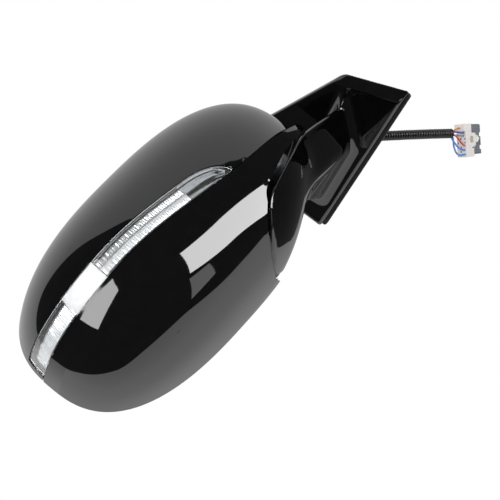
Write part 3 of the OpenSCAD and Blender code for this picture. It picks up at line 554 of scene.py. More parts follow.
def add_camera():
    """Camera from the rows of its turn and its place."""
    data = bpy.data.cameras.new("camera")
    data.lens = CAMERA_LENS
    data.sensor_width = CAMERA_SENSOR
    camera = bpy.data.objects.new("camera", data)
    bpy.context.scene.collection.objects.link(camera)
    rows = [[*row, at * MM] for row, at in zip(CAMERA_AXES, CAMERA_MM)]
    camera.matrix_world = Matrix(rows + [[0, 0, 0, 1]])
    bpy.context.scene.camera = camera


add_camera()


# Harness

def plug_to_row(points):
    """Connector frame (along the wires, across, through) to the shared frame, in mm."""
    points = np.asarray(points, float)
    cos_drop, sin_drop = math.cos(PLUG_DROP), math.sin(PLUG_DROP)
    cos_roll, sin_roll = math.cos(PLUG_ROLL), math.sin(PLUG_ROLL)
    along = np.array([cos_drop, 0, -sin_drop])
    across = np.array([-sin_roll * sin_drop, cos_roll, -sin_roll * cos_drop])
    through = np.array([cos_roll * sin_drop, sin_roll, cos_roll * cos_drop])
    end = CONDUIT_ROUTE[-1]
    return end + points[..., :1] * along + points[..., 1:2] * across + points[..., 2:] * through


# Routes of the wires in the connector's frame; the blue one is forked
WIRES = (
    ("orange", [
        [0.1, -1.2, 1.2], [3.7, -2.6, 0.4], [6.6, -4, -0.7], [8.5, -4.3, -1],
        [PLUG_BACK - PLUG_STEP, -4.3, -1],
    ]),
    ("navy", [
        [0.1, -1.2, -0.9], [4.1, -1, -2.4], [7.3, -0.2, -4], [9.8, -0.1, -4.4], [PLUG_BACK, -0.1, -4.4],
    ]),
    ("grey", [[0.1, 0.8, 1.4], [4.1, 1.7, -0.5], [7.3, 2.3, -3], [9.8, 2.4, -3.6], [PLUG_BACK, 2.4, -3.6]]),
    ("red", [[0.1, 0.8, -1.4], [3.5, 3.1, -3], [6.8, 8, -4.2], [9.6, 10.8, -4.4], [PLUG_BACK, 10.8, -4.4]]),
    ("blue", [
        [1.3, 3.1, 1.4], [2.6, 6.9, 0.4], [5.4, 12.2, -1.9], [8.6, 14.5, -3.8], [9.8, 14.7, -4],
        [PLUG_BACK, 14.7, -4],
    ]),
    ("blue", [
        [1.2, 3.4, -1], [0.9, 7.1, -1.5], [0.8, 11.7, -2], [2.3, 16.9, -2.8], [5.6, 19.3, -3.5],
        [8.7, 18.9, -4], [9.9, 18.7, -4.1], [PLUG_BACK, 18.7, -4.1],
    ]),
)


def add_wires():
    """Round bars on curves from the conduit to the connector."""
    pieces = []
    for hue, material in insulation.items():
        name, slot = "wire_" + hue, hue + "_wire"
        paths = [plug_to_row(curve_through(route, 8)) for owner, route in WIRES if owner == hue]
        points, faces = join_parts([tube(path, WIRE_R, WIRE_SIDES, (1.0, 0, 0)) for path in paths])
        pieces.append(make_piece(name + "_lead", as_row(points), faces, "base", material, [name], 50))
    return pieces


def prism(outline, low, high):
    """Corners and faces of an outline in the connector's frame, from one depth to another."""
    outline = np.array(outline, float)
    n = len(outline)
    rings = [np.column_stack([outline, np.full(n, z)]) for z in (low, high)]
    sides = grid_quads(2, n, around=True)
    return np.concatenate(rings), [sides, np.arange(n)[None], np.arange(2 * n - 1, n - 1, -1)[None]]


def block(low, high):
    """Corners and faces of a box in the connector's frame."""
    (x0, y0, z0), (x1, y1, z1) = low, high
    return prism([(x0, y0), (x1, y0), (x1, y1), (x0, y1)], z0, z1)


def add_solids(name, parts, material, replaces=(), bevel=0.35):
    """Blocks of the connector as one piece, with their edges rounded off."""
    points, faces = join_parts(parts)
    piece = make_piece(name, as_row(plug_to_row(points)), faces, "base", material, replaces, 30)
    round_off = piece.modifiers.new("round_off", "BEVEL")
    round_off.width = bevel * MM
    round_off.segments = 2
    return piece


def add_connector():
    """White housing with a latch and a pointed tab, painted shade of wire cavities in its back, and a grey
    lock.
    """
    x0 = PLUG_BACK
    x1 = PLUG_BACK + PLUG_LEN
    x2 = x1 + LOCK_LEN
    y0 = PLUG_LOW
    y1 = PLUG_LOW + PLUG_W
    half = PLUG_T / 2
    side = -half
    tab = [(x1 + x, y0 + y) for x, y in ((-0.5, 9), (3, 10.4), (5, 13), (3, 15.8), (-0.5, 16.8))]
    white = [
        block((x0, y0, -half), (x0 + 6.6, y1, half)),
        block((x0 - PLUG_STEP, y0, -half), (x0 + 0.5, y0 + 6.6, half)),
        block((x0 + 6, y0 + 7.8, -half), (x1, y0 + 20.2, half)),
        block((x0 + 6, y0 + 21.2, -half), (x1 - 0.9, y1, half)),
        block((x0 + 2.5, y0 + 8.2, side - 0.9), (x1 + 0.5, y0 + 19.2, side + 1)),
        prism(tab, side - 0.6, side + 1.4),
    ]
    grey = [
        block((x0 + 6.6, y0 + 0.4, side + 0.4), (x2 - 1.7, y1 - 3.2, half - 0.8)),
    ]
    for low, high in ((0.8, 7.8), (11.1, 18.8), (22.1, PLUG_W - 2.4)):
        grey.append(block((x2 - 2, y0 + low, side + 0.8), (x2, y0 + high, half - 0.8)))
    # Grey patches on the back face: painted shade where the wire cavities sink in
    cavities = [(5.2, 0.6), (5.2, -5), (8.6, 4.4), (8.6, -5), (12.2, 0.4), (16.2, 1), (18.7, -0.6)]
    dark = [block((x0 - 0.15, y - 0.7, z - 0.8), (x0 + 0.4, y + 0.7, z + 0.8)) for y, z in cavities]
    tan = [block((x0 + 4, y0 + 10.8, side - 1.1), (x0 + 7.2, y0 + 16.4, side - 0.5))]
    return [
        add_solids("connector_housing", white, plug_white, ["connector_body"]),
        add_solids("connector_lock_plate", grey, plug_grey, ["connector_lock"]),
        add_solids("wire_cavity_shade", dark, plug_grey, (), 0.1),
        add_solids("latch_window", tan, tan_insert, (), 0.2),
    ]


def add_conduit(on_it):
    """Ribbed hose: its radius along the path is a flattened wave of one rib per pitch; then the bore."""
    path = curve_through(CONDUIT_ROUTE, 40)
    run = run_along(path)
    ribs = int(run[-1] / RIB_PITCH)
    s = np.linspace(0, run[-1], ribs * 10 + 1)
    line = np.stack([np.interp(s, run, path[:, k]) for k in range(3)], -1)
    wave = np.cos(2 * math.pi * ribs * s / run[-1])
    radius = CONDUIT_R - RIB_DEEP / 2 + RIB_DEEP / 2 * np.tanh(RIB_FLAT * wave) / math.tanh(RIB_FLAT)
    ahead = unit(np.gradient(line, axis=0))
    ahead = np.concatenate([ahead, ahead[::-1]])
    line = np.concatenate([line, line[::-1]])
    radii = np.concatenate([radius, np.full(len(s), CONDUIT_BORE)])
    points = as_row(rings_round(line, ahead, radii, CONDUIT_SIDES, np.array([0, -1.0, 1.0])))
    faces = [grid_quads(len(line), CONDUIT_SIDES, around=True, closed=True)[:, ::-1]]
    piece = make_piece("ribbed_conduit", points, faces, "base", conduit_plastic, ["conduit"], 50)


add_conduit(add_wires() + add_connector())


# Head's covers

def head_point(angles, inset):
    """Superellipsoid point in the direction given by two angles: the direction scaled to the surface."""
    round_z, up = angles[:, 0], angles[:, 1]
    d = np.stack([np.cos(up) * np.cos(round_z), np.cos(up) * np.sin(round_z), np.sin(up)], -1)
    size = (np.abs(d) ** POWER).sum(1) ** (1 / POWER)
    return (HEAD - inset) * d / size[:, None]


def split_z(x):
    """Height of the seam between the covers: high outboard, low inboard."""
    return SPLIT_HIGH - SPLIT_FALL * smooth((x + SPLIT_HALF) / (2 * SPLIT_HALF))


def over_window(p):
    """Height over the lamp window's upper edge: a level band that ends inboard in a quarter ellipse."""
    start = LENS_TIP - LENS_NOSE
    up = p[:, 2] - split_z(p[:, 0])
    ahead = np.maximum(p[:, 0] - start, 0) / LENS_NOSE
    return LENS_H * (np.sqrt(ahead ** 2 + (np.maximum(up, 0) / LENS_H) ** 2) - 1)


def fold_wall(z):
    """Radius of the foot's outer wall round the fold axis at a height."""
    return np.interp(z, FOOT_WALL[:, 1], FOOT_WALL[:, 0])


def over_parting(p, gap):
    """Clearance over the foot's sloping top, in front, and over the level floor, behind."""
    slope = PART_Z + PART_RISE * (p[:, 0] - PIVOT_IN) + gap
    behind = smooth((p[:, 1] + PIVOT_FWD + PART_EASE / 2) / PART_EASE)
    return p[:, 2] - (slope + behind * (REAR_FLOOR - FOLD_GAP + gap - slope))


def from_axis(p):
    """Distance of a head point from the fold axis."""
    return np.hypot(p[:, 0] - PIVOT_IN, p[:, 1] + PIVOT_FWD)


def soft_max(a, b, blend):
    """The larger of two fields, rounded off where they are within blend of each other."""
    h = np.clip(0.5 + 0.5 * (a - b) / blend, 0, 1)
    return b + (a - b) * h + blend * h * (1 - h)


def soft_min(a, b, blend):
    """The smaller of two fields, rounded off in the same way."""
    return -soft_max(-a, -b, blend)


def cut_head(steps, sink, *fields):
    """Front half of the head's skin, sunk by sink and trimmed in turn to where each field is positive."""
    turn = np.linspace(-math.pi, 0, steps)
    climb = np.linspace(-math.pi / 2, math.pi / 2, steps)
    grid = np.stack(np.meshgrid(turn, climb, indexing="ij"), -1).reshape(-1, 2)
    tris = grid_tris(steps, steps)
    for field in fields:
        grid, tris = trim(grid, tris, field(head_point(grid, sink)))
    return weld(head_point(grid, sink), tris)


def add_upper_cap():
    """Head's skin over the seam, less the lamp's window."""
    edge = SEAM + CAP_LIP
    points, tris = cut_head(
        CAP_STEPS, 0,
        lambda p: p[:, 2] - split_z(p[:, 0]) - CAP_LIP,
        lambda p: np.maximum(over_window(p) - edge, p[:, 1] + LENS_END - edge)
    )
    points, faces = shell(points, tris, SKIN, CAP_LIP)
    make_piece("upper_cap_skin", to_row(points), faces, "head", lacquer, ["upper_cap"])


def drawn_out(p):
    """Lower cover drawn out to a horn at the parting, by a shift eased in along each axis."""
    inboard = smooth((p[:, 0] - HORN_FROM[0]) / HORN_OVER[0])
    forward = smooth((HORN_FROM[1] - p[:, 1]) / HORN_OVER[1])
    upward = smooth((p[:, 2] - HORN_FROM[2]) / HORN_OVER[2])
    return p + (inboard * upward * forward)[:, None] * HORN


def clear_of_foot(p):
    """How far a head point lies outside the foot's wall or over the parting, whichever is more."""
    outside = from_axis(p) - fold_wall(p[:, 2]) - FOLD_GAP - COVER_LIP
    behind = smooth((p[:, 1] + PIVOT_FWD) / REAR_EASE) * smooth((p[:, 0] - PIVOT_IN + REAR_OPEN) / PART_EASE)
    return soft_max(outside - behind * FAR, over_parting(p, FOLD_GAP + COVER_LIP), COVER_ROUND)


def add_lower_cover():
    """Head's skin under the seam, less the room that the foot needs."""
    points, tris = cut_head(
        FINE_STEPS, 0, lambda p: split_z(p[:, 0]) - SEAM - COVER_LIP - p[:, 2], clear_of_foot
    )
    points, faces = shell(points, tris, SKIN, COVER_LIP)
    points = to_row(drawn_out(points))
    make_piece("lower_cover_skin", points, faces, "head", lacquer, ["lower_cover"])


add_upper_cap()
add_lower_cover()


# Lamp: a clear lens, and behind it ribbed fields, a light block, a smooth leaf and dark rims

LAMP_FLOOR = 0.5
LAMP_LEAST = 0.02
LENS_FAR = -136.0
LEAF_FROM = 5.0
LEAF_TOP = 1.3
LEAF_DEEP = 4.5
LEAF_HOLLOW = 3.0
BLOCK_FROM = -80.0
BLOCK_TO = -108.0
BLOCK_TOP = 1.2
BLOCK_DEEP = 3.2
BLOCK_T = 4.0
REFLECTOR_T = 1.2
ROW_RISE = 1.3
RIB_RISE = 0.5
RIB_STEP = 2.0
RIB_TOP = 1.5
# Ribbed fields: from, to, steps, rows of flutes, their height, depth
RIB_FIELDS = (
    (BLOCK_FROM, LEAF_FROM, 720, 2, 1.0, 6.0),
    (LENS_FAR, BLOCK_TO, 300, 1, 1.5, 5.4),
)
# Dark strips of painted shade on the flutes' ridges: width, thickness, how far proud
RIDGE_W = 0.6
RIDGE_T = 0.3
RIDGE_OUT = 0.1
RIM_BANDS = ((0.05, 0.1), (0.9, 0.95))
RIM_DEEP = 3.0
RIM_T = 0.6


def lamp_point(angle, up_share, depth):
    """Point behind the lens: an angle round the head's nose, a share of the window's height, and a depth."""
    d = np.stack([np.cos(angle), np.sin(angle)], -1)
    ring = d / (np.abs(d) ** POWER).sum(-1, keepdims=True) ** (1 / POWER)
    size = HEAD[None, :] - depth[:, None]
    x = size[:, 0] * ring[:, 0]
    start = LENS_TIP - LENS_NOSE
    reach = np.clip((x - start) / LENS_NOSE, 0, 1)
    top = LENS_H * np.sqrt(np.maximum(1 - reach ** 2, 0.0))
    z = split_z(x) + LAMP_FLOOR + up_share * np.maximum(top - 2 * LAMP_FLOOR, LAMP_LEAST)
    width = (1 - np.abs(z / size[:, 2]) ** POWER) ** (1 / POWER)
    return np.stack([x * width, size[:, 1] * ring[:, 1] * width, z], -1)


def lamp_angles(x_from, x_to, count):
    """Angles round the nose, even along the skin between two places on the head's length, and the run."""
    a = np.linspace(-math.pi, 0, 4000)
    p = lamp_point(a, np.full(4000, 0.5), np.full(4000, 4.0))
    run = run_along(p)
    first, last = np.interp([x_from, x_to], p[:, 0], run)
    s = np.linspace(first, last, count)
    return np.interp(s, run, a), s - s[0]


def lamp_wall(a, s, up, depth_of, wall, lip=0.05, turns=1):
    """Wall on a grid behind the lens, its depth given by the run s along the skin and the height."""
    ss, uu = np.meshgrid(s, up, indexing="ij")
    points = lamp_point(np.repeat(a, len(up)), uu.ravel(), depth_of(ss, uu).ravel())
    return shell(*weld(points, grid_tris(len(a), len(up))), wall, lip, turns)


def flutes(s, up, rows, depth):
    """Rows of flutes: a round trough across the row, with a rib every RIB_STEP along it."""
    place = (up * rows) % 1.0
    trough = np.sin(math.pi * place) ** 0.5
    wave = np.abs(np.sin(math.pi * s / RIB_STEP)) ** 0.6
    return depth - ROW_RISE * (1 - trough) - RIB_RISE * (1 - wave) * trough


def add_lens():
    """Head's skin inside the lamp's window, a little sunk."""
    points, tris = cut_head(
        FINE_STEPS, LENS_SINK,
        lambda p: p[:, 2] - split_z(p[:, 0]) - LENS_LIP - LENS_LOW,
        lambda p: -over_window(p) - LENS_LIP,
        lambda p: -p[:, 1] - LENS_END - LENS_LIP
    )
    points, faces = shell(points, tris, LENS_WALL, LENS_LIP, 3)
    make_piece("lamp_lens_clear", to_row(points), faces, "head", acrylic, ["lamp_lens"])


def rib_walls():
    """Ribbed fields, and narrow dark strips of painted shade on the ridges between their flutes, a little
    proud.
    """
    fields = []
    strips = []
    for x_from, x_to, count, rows, tall, depth in RIB_FIELDS:
        def ribs(s, up):
            return flutes(s, up / tall, rows, depth)

        up = np.linspace(0, RIB_TOP, 40)
        fields.append(lamp_wall(*lamp_angles(x_from, x_to, count), up, ribs, REFLECTOR_T))
        a, s = lamp_angles(x_from, x_to, 2000)
        for middle in np.arange(RIB_STEP, s[-1] - RIB_STEP / 2, RIB_STEP):
            run = middle + np.linspace(-RIDGE_W / 2, RIDGE_W / 2, 3)
            strips.append(lamp_wall(
                np.interp(run, s, a), run, np.linspace(0, RIB_TOP, 16),
                lambda s, up: ribs(s, up) - RIDGE_OUT, RIDGE_T, 0.02
            ))
    return fields, strips


def add_lamp():
    """Pieces behind the lens, each of one or more walls."""
    leaf = lamp_wall(
        *lamp_angles(LEAF_FROM, LENS_TIP - 1.0, 60), np.linspace(0, LEAF_TOP, 24),
        lambda s, up: LEAF_DEEP + LEAF_HOLLOW * np.sin(math.pi * up / LEAF_TOP) ** 2, REFLECTOR_T
    )
    fields, strips = rib_walls()
    along = lamp_angles(LENS_FAR, LENS_TIP - 6.0, 160)
    rims = [
        lamp_wall(*along, np.linspace(low, high, 4), lambda s, up: np.full_like(s, RIM_DEEP), RIM_T)
        for low, high in RIM_BANDS
    ]
    guide = lamp_wall(
        *lamp_angles(BLOCK_TO, BLOCK_FROM, 80), np.linspace(0, BLOCK_TOP, 20),
        lambda s, up: np.full_like(s, BLOCK_DEEP), BLOCK_T, 0.2, 2
    )
    for name, parts, material, slot, node_name, sharp in (
        ("lamp_leaf", [leaf], leaf_silver, "reflector", "lamp_housing", 30),
        ("lamp_reflector", fields, bright_silver, "reflector", "lamp_housing", 30),
        # Dull dark strips that paint the shade between the flutes
        ("lamp_groove_shade", strips, groove_shade_paint, "reflector", "lamp_housing", 30),
        ("lamp_rim", rims, grained_abs, "satin_black", "lamp_housing", 30),
        ("light_block", [guide], guide_white, "clear_lens", "light_guide", 40),
    ):
        points, faces = join_parts(parts)
        make_piece(name, to_row(points), faces, "head", material, [node_name], sharp)


add_lens()
add_lamp()


# Base: sail, arm and foot as one skin

def to_head(points):
    """Shared frame in millimetres to the head's frame."""
    x = points[:, 0] + ARM_REACH
    y = points[:, 1] + PIVOT_SIDE
    u = x * math.cos(SWEEP) - y * math.sin(SWEEP)
    v = x * math.sin(SWEEP) + y * math.cos(SWEEP)
    return np.stack([u + PIVOT_IN, v - PIVOT_FWD, points[:, 2] - HEAD_Z], -1)


def inside_line(p, a, b):
    """Distance inside the line from a to b, on its left, of points in a plane."""
    along = unit(b - a)
    return along[..., 0] * (p[..., 1] - a[..., 1]) - along[..., 1] * (p[..., 0] - a[..., 0])


def in_sail(p):
    """Sail: its outline and outer face with rounded edges, the front one a broad slant, and a hollow back."""
    front, top, rear, low = (inside_line(p[:, 1:], SAIL[(i + 1) % 4], SAIL[i]) for i in range(4))
    face = p[:, 0] + SAIL_T
    slant = (front + SAIL_SLANT * (p[:, 0] + GASKET_T)) / math.hypot(1, SAIL_SLANT) + SLANT_OUT
    body = soft_min(soft_min(face, slant, SAIL_ROUND), soft_min(top, rear, SAIL_ROUND), SAIL_ROUND)
    body = np.minimum(soft_min(body, low, SAIL_LIP), front)
    body = soft_min(body, -GASKET_T - p[:, 0], SAIL_LIP)
    hollow = np.minimum.reduce([front - SAIL_FRONT, top, rear, low, face]) - BASE_WALL
    return np.minimum(body, -hollow)


def in_arm(p):
    """Arm: four sides through corners that run from root to neck on a smooth step, then on into the foot."""
    d = -SAIL_T - p[:, 0]
    first = smooth(d / NECK_D)[:, None, None]
    second = np.clip((d - NECK_D) / (END_D - NECK_D), 0, 1)[:, None, None]
    third = np.clip((d - END_D) / (FAR_D - END_D), 0, 1)[:, None, None]
    q = ARM_ROOT + (ARM_NECK - ARM_ROOT) * first
    q = q + (ARM_END - ARM_NECK) * second + (ARM_FAR - ARM_END) * third
    front, low, rear, top = (inside_line(p[:, 1:], q[:, i], q[:, (i + 1) % 4]) for i in range(4))
    ahead = soft_min(front, low, ARM_FRONT_ROUND)
    behind = soft_min(rear, top, ARM_REAR_ROUND)
    body = soft_min(ahead, behind, ARM_SIDE_ROUND)
    return np.minimum(np.minimum(body, FAR_D - d), d + ARM_SUNK)


def in_foot(p, inset):
    """Foot, in the head's frame: the head's form with a shallow round back and its inboard end drawn up."""
    lift = smooth((p[:, 0] - FOOT_RISE[0]) / (FOOT_RISE[1] - FOOT_RISE[0]))
    z = p[:, 2] / (1 - FOOT_LIFT * lift)
    deep = np.where(p[:, 1] < 0, HEAD[1], FOOT_BACK) - inset
    shares = np.stack([p[:, 0] / (HEAD[0] - inset), p[:, 1] / deep, z / (HEAD[2] - inset)], -1)
    size = (np.abs(shares) ** POWER).sum(1) ** (1 / POWER)
    return np.linalg.norm(p, axis=1) * (1 / np.maximum(size, 0.05) - 1)


def foot_bounds(h):
    """How far points are inside the foot's wall and under the parting."""
    wall = fold_wall(h[:, 2]) - from_axis(h)
    under = PART_Z + PART_RISE * (h[:, 0] - PIVOT_IN) - h[:, 2]
    return wall, under


def in_base(p):
    """Whole base: arm and foot blended, cut under the parting with a soft edge, and joined to the sail."""
    h = to_head(p)
    wall, under = foot_bounds(h)
    foot = soft_min(in_foot(h, 0.0), wall, FOOT_ROUND)
    corner = np.minimum(h[:, 0] - PIVOT_IN - STEP_X, h[:, 1] + PIVOT_FWD - STEP_Y)
    step = np.minimum(corner, REAR_FLOOR - FOLD_GAP - h[:, 2])
    body = soft_min(soft_max(foot, in_arm(p), ARM_BLEND), np.maximum(under, step), FOOT_ROUND)
    return soft_max(body, in_sail(p), ARM_BLEND)


def in_tongue(p):
    """Tongue: a band of the foot's form, set in under the skin, that reaches into the fold gap."""
    h = to_head(p)
    wall, under = foot_bounds(h)
    inset = TONGUE_IN - TONGUE_RISE * smooth((TONGUE_LOW - h[:, 2]) / TONGUE_FADE)
    band = np.minimum(wall + FOLD_GAP - TONGUE_GAP, TONGUE_ROOT - wall)
    return np.minimum(np.minimum(in_foot(h, inset), band), under - TONGUE_TOP)


def add_base():
    """Skins of the base and of its tongue, where their fields are zero."""
    points, faces, normals = surface_net(in_base, BASE_LOW, BASE_HIGH, NET_STEP)
    points = as_row(points)
    make_piece("base_skin", points, faces, "base", lacquer, ["base_cover"], 40, normals)
    points, faces, _ = surface_net(in_tongue, BASE_LOW, TONGUE_HIGH, NET_STEP)
    make_piece("foot_tongue", as_row(points), faces, "base", grained_abs, ["base_cover"])


add_base()


def cap_ring(grow, per=20):
    """Outline of the service cap: two half circles joined by straight sides."""
    along = unit(CAP_ENDS[1] - CAP_ENDS[0])
    a0 = math.atan2(along[1], along[0])
    arcs = []
    for end, side in zip(CAP_ENDS, (1, -1)):
        t = a0 + side * math.pi / 2 + np.linspace(0, math.pi, per)
        arcs.append(end + (CAP_R + grow) * np.stack([np.cos(t), np.sin(t)], -1))
    return np.concatenate(arcs)


def add_service_cap():
    """Cap flush with the arm's underside, its rim rounded so that the seam shows."""
    rings = []
    for grow, drop in ((-1.6, 0.12), (-0.5, 0.12), (-0.12, 0.0), (0.0, -0.5), (0.0, -BASE_WALL)):
        ring = cap_ring(grow)
        rings.append(np.column_stack([ring, np.full(len(ring), ARM_LOW - drop)]))
    faces = capped_rings(len(rings), len(rings[0]))
    points = as_row(np.concatenate(rings))
    make_piece("service_cap_lid", points, faces, "base", lacquer, ["service_cap"])


add_service_cap()


# Back of the head: bezel, plate and glass

def glass_ring(off, count=180):
    """Superellipse round the glass, longer outboard than inboard, grown by off."""
    t = np.linspace(0, 2 * math.pi, count, endpoint=False)
    c, s = np.cos(t), np.sin(t)
    size = (np.abs(c) ** POWER + np.abs(s) ** POWER) ** (1 / POWER)
    x = c / size * np.where(c < 0, GLASS_OUT + off, GLASS_IN + off)
    return np.stack([x, GLASS_MID_Z + s / size * (GLASS_HALF_H + off)], -1)


def ring_stack(profile, count=180):
    """Closed ring of a profile of (offset, y) points carried round the glass outline."""
    rings = []
    for off, y in profile:
        ring = glass_ring(off, count)
        rings.append(np.column_stack([ring[:, 0], np.full(count, y), ring[:, 1]]))
    return np.concatenate(rings), len(rings), count


def add_bezel():
    """Rim round the glass: straight walls under a half-round crown."""
    g = GLASS_GAP
    nose = np.linspace(0, math.pi, 14)
    crown = [(g + 3.6 - 3.4 * math.cos(t), BEZEL_DEEP - 4.0 + 4.0 * math.sin(t)) for t in nose]
    profile = [(g, -6), (g, 3.0)] + crown + [(g + 7.5, PLATE_T), (g + 2, PLATE_T), (g + 2, -6)]
    points, rows, cols = ring_stack(profile)
    faces = [grid_quads(rows, cols, around=True, closed=True)]
    make_piece("bezel_ring", to_row(points), faces, "head", grained_abs, ["bezel"])


def add_glass():
    """Flat pane with a small bevel round its face."""
    profile = [(0, 0), (0, GLASS_T - 0.7), (-0.7, GLASS_T), (-3.0, GLASS_T)]
    points, rows, cols = ring_stack(profile)
    faces = capped_rings(rows, cols, -1)
    make_piece("mirror_pane", to_row(points), faces, "glass", silvered, ["mirror_glass"], 20)


add_bezel()
add_glass()

# Finishes of the solids that stay as they are
SOLID_FINISH = (
    (cast_metal, ["base_bracket"]),
    (rubber, ["sail_gasket", "grommet", "arm_harness", "head_wiring"]),
    (zinc_steel, ["mount_studs", "cover_screws", "pivot_shaft", "detent_ring", "clutch_spring"]),
    (zinc_steel, ["spring_retainer", "fold_motor", "tilt_motor", "pan_motor", "pivot_cross", "frame_screws"]),
    (gear_brass, ["fold_gear"]),
    (filled_nylon, ["head_frame"]),
    (grained_abs, ["fold_case", "fold_case_lid", "fold_shroud", "rear_housing", "actuator_case"]),
    (grained_abs, ["actuator_lid", "glass_holder"]),
    (acetal, ["fold_worm", "tilt_plunger", "pan_plunger"]),
    (solder_mask, ["lamp_board"]),
    (heater_film, ["heater_pad"]),
)
for material, names in SOLID_FINISH:
    for name in names:
        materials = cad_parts[name].data.materials
        materials.clear()
        materials.append(material)


# Stage: pale floor, white surround, dark cloth, and softbox faces seen only in gloss

STAGE_MID = to_row(np.array([20.0, -60.0, 0.0]))


def toward(azimuth, elevation, distance):
    """Point at a bearing from the head: azimuth 0 ahead of the car, 90 towards the door."""
    a, e = math.radians(azimuth), math.radians(elevation)
    d = np.array([math.sin(a) * math.cos(e), -math.cos(a) * math.cos(e), math.sin(e)])
    return STAGE_MID + distance * d


def stage_piece(name, points, faces, material, gloss_only):
    """A mesh of the set, which is no part of the object."""
    mesh = bpy.data.meshes.new(name)
    mesh.from_pydata(np.asarray(points).tolist(), [], faces)
    mesh.materials.append(material)
    piece = bpy.data.objects.new(name, mesh)
    bpy.context.scene.collection.objects.link(piece)
    if gloss_only:
        for rays in ("camera", "diffuse", "transmission", "shadow"):
            setattr(piece, "visible_" + rays, False)
    return piece


def glow(name, strength=None):
    """White light of one strength or, with none given, of the mesh's own level at each point."""
    material = bpy.data.materials.new(name)
    material.use_nodes = True
    tree = material.node_tree
    tree.nodes.clear()
    if strength is None:
        level = node(tree, "ShaderNodeAttribute", {"attribute_name": "level"})
        light = node(tree, "ShaderNodeEmission", None, {"Strength": (level, "Fac")})
    else:
        light = node(tree, "ShaderNodeEmission", {"Color": (1, 1, 1, 1), "Strength": strength})
    node(tree, "ShaderNodeOutputMaterial", links={"Surface": (light, "Emission")})
    return material


# Bearings round the dark cloth's border, as azimuth and elevation
CLOTH_EDGE = [
    (6, 27), (0, 38), (-9, 55), (-34, 77), (-134, 76), (-150, 61), (-148, 42), (-147, 26), (-142, 11),
    (-133, -2), (-127, -16), (-122, -31), (-117, -46), (-93, -63), (-54, -73), (-4, -74), (36, -72),
    (58, -66), (66, -56), (95, -52), (118, -40), (122, -15), (105, 2), (80, 3), (58, 6), (38, 8), (18, 14),
]
CLOTH_MIDDLE = (-20, -12)
CLOTH_AWAY = 2.6
CLOTH_PER = 6
CLOTH_RINGS = 12
CLOTH_LEVEL = 0.09


def add_dark_cloth():
    """Cloth on a sphere round the head, its border a smooth curve through bearings."""
    corners = np.array([toward(az, el, CLOTH_AWAY) - STAGE_MID for az, el in CLOTH_EDGE])
    wrapped = np.concatenate([corners[-2:], corners, corners[:3]])
    edge = curve_through(wrapped, CLOTH_PER)[2 * CLOTH_PER:-3 * CLOTH_PER]
    middle = toward(*CLOTH_MIDDLE, CLOTH_AWAY) - STAGE_MID
    share = np.linspace(0, 1, CLOTH_RINGS + 1)[1:, None, None]
    rings = unit(middle * (1 - share) + edge[None] * share) * CLOTH_AWAY + STAGE_MID
    n = len(edge)
    points = np.concatenate([rings.reshape(-1, 3), [middle + STAGE_MID]])
    hub = CLOTH_RINGS * n
    faces = grid_quads(CLOTH_RINGS, n, around=True).tolist() + [[j, (j + 1) % n, hub] for j in range(n)]
    stage_piece("dark_cloth", points, faces, glow("cloth_black", CLOTH_LEVEL), True)


# Paper's brightness by its angle from the far side, below and above the horizon
VIEW_AWAY = np.array([0.713, 0.687, 0.143])
SWEEP_ANGLE = [0, 20, 28, 36, 44, 52, 60, 70, 80, 95]
SWEEP_LEVEL = [0.33, 0.40, 0.53, 0.68, 0.82, 0.95, 1.1, 1.35, 1.6, 1.7]
SWEEP_TOP = [0.55, 0.62, 0.72, 0.84, 0.96, 1.08, 1.2, 1.3, 1.3, 1.3]
SWEEP_AWAY = 3.0
SWEEP_GRID = (73, 25)
HORIZON = 8


def add_sweep():
    """Paper round the set, seen in gloss: dimmer towards the far side, and more so below the horizon."""
    for name, low, high in (("sweep_low", -89, HORIZON), ("sweep_high", HORIZON, 89)):
        bearings = np.linspace(-180, 180, SWEEP_GRID[0]), np.linspace(low, high, SWEEP_GRID[1])
        az, el = np.meshgrid(*bearings, indexing="ij")
        points = np.array([toward(a, e, SWEEP_AWAY) for a, e in zip(az.ravel(), el.ravel())])
        away = np.degrees(np.arccos(np.clip(unit(points - STAGE_MID) @ VIEW_AWAY, -1, 1)))
        level = np.interp(away, SWEEP_ANGLE, SWEEP_LEVEL if low < 0 else SWEEP_TOP)
        faces = grid_quads(*SWEEP_GRID).tolist()
        paper = stage_piece(name, points, faces, glow(name + "_paper"), True)
        paper.data.attributes.new("level", "FLOAT", "POINT").data.foreach_set("value", level)


# Softbox faces: strength, and the bearings of their corners
SOFTBOXES = {
    "strip_softbox": (15.0, [(-3, -7), (31, -17), (42, -45), (19, -41), (-3, -33)]),
    "dim_softbox": (2.2, [(-4, -38), (9, -41), (21, -57), (0, -63)]),
    "side_softbox": (10.0, [(-34, 13), (-38, 9), (-74, 3), (-78, 13)]),
}
BOX_AWAY = 2.4


def add_softboxes():
    """Flat bright faces with their corners at given bearings."""
    for name, (strength, corners) in SOFTBOXES.items():
        points = [toward(az, el, BOX_AWAY) for az, el in corners]
        stage_piece(name, points, [list(range(len(points)))], glow(name + "_glow", strength), True)


FLOOR_R = 1.3
FLOOR_Z = -0.6
FLOOR_SIDES = 48
LIGHT_LEVEL = 0.55


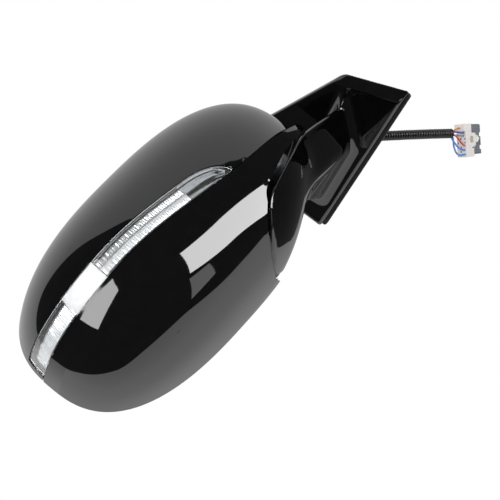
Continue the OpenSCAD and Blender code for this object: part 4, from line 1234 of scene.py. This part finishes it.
def add_floor():
    """Round floor under the head."""
    # Painted board: matte off-white with a faint cloud.
    material = finish("pale_floor", "#e9e9e9", "#eeeeee", 0.7, 60.0, 0.0)
    turn = np.linspace(0, 2 * math.pi, FLOOR_SIDES, endpoint=False)
    x, y = STAGE_MID[0] + FLOOR_R * np.cos(turn), STAGE_MID[1] + FLOOR_R * np.sin(turn)
    points = np.stack([x, y, np.full(FLOOR_SIDES, FLOOR_Z)], -1)
    stage_piece("floor", points, [list(range(FLOOR_SIDES))], material, False).visible_glossy = False


def add_world():
    """White to the eye, to gloss and through clear plastic; a plain level of light to everything else."""
    world = bpy.data.worlds.new("studio")
    bpy.context.scene.world = world
    world.use_nodes = True
    tree = world.node_tree
    tree.nodes.clear()
    path = node(tree, "ShaderNodeLightPath")
    either = {"operation": "MAXIMUM"}
    direct = node(tree, "ShaderNodeMath", either, {0: (path, "Is Camera Ray"), 1: (path, "Is Glossy Ray")})
    seen = node(tree, "ShaderNodeMath", either, {0: (direct, 0), 1: (path, "Is Transmission Ray")})
    plain = node(tree, "ShaderNodeBackground", {"Color": (1, 1, 1, 1), "Strength": LIGHT_LEVEL})
    white = node(tree, "ShaderNodeBackground", {"Color": (1, 1, 1, 1), "Strength": 1.0})
    mixed = node(tree, "ShaderNodeMixShader", None, {0: (seen, 0), 1: (plain, 0), 2: (white, 0)})
    node(tree, "ShaderNodeOutputWorld", links={"Surface": (mixed, 0)})


def add_lamp_light(name, azimuth, elevation, distance, size, power):
    """Square lamp at a bearing, aimed at the head."""
    data = bpy.data.lights.new(name, "AREA")
    data.energy = power
    data.size = size
    lamp = bpy.data.objects.new(name, data)
    bpy.context.scene.collection.objects.link(lamp)
    place = toward(azimuth, elevation, distance)
    lamp.location = place
    back = unit(place - STAGE_MID)
    right = unit(np.cross([0, 0, 1], back))
    aim = np.column_stack([right, np.cross(back, right), back])
    lamp.rotation_euler = Matrix(aim.tolist()).to_euler()
    lamp.visible_glossy = False


add_world()
add_floor()
add_sweep()
add_dark_cloth()
add_softboxes()
add_lamp_light("key_light", azimuth=-50, elevation=25, distance=1.6, size=0.9, power=16)
add_lamp_light("fill_light", azimuth=150, elevation=30, distance=1.8, size=1.2, power=10)
bpy.context.scene.view_settings.view_transform = "Standard"
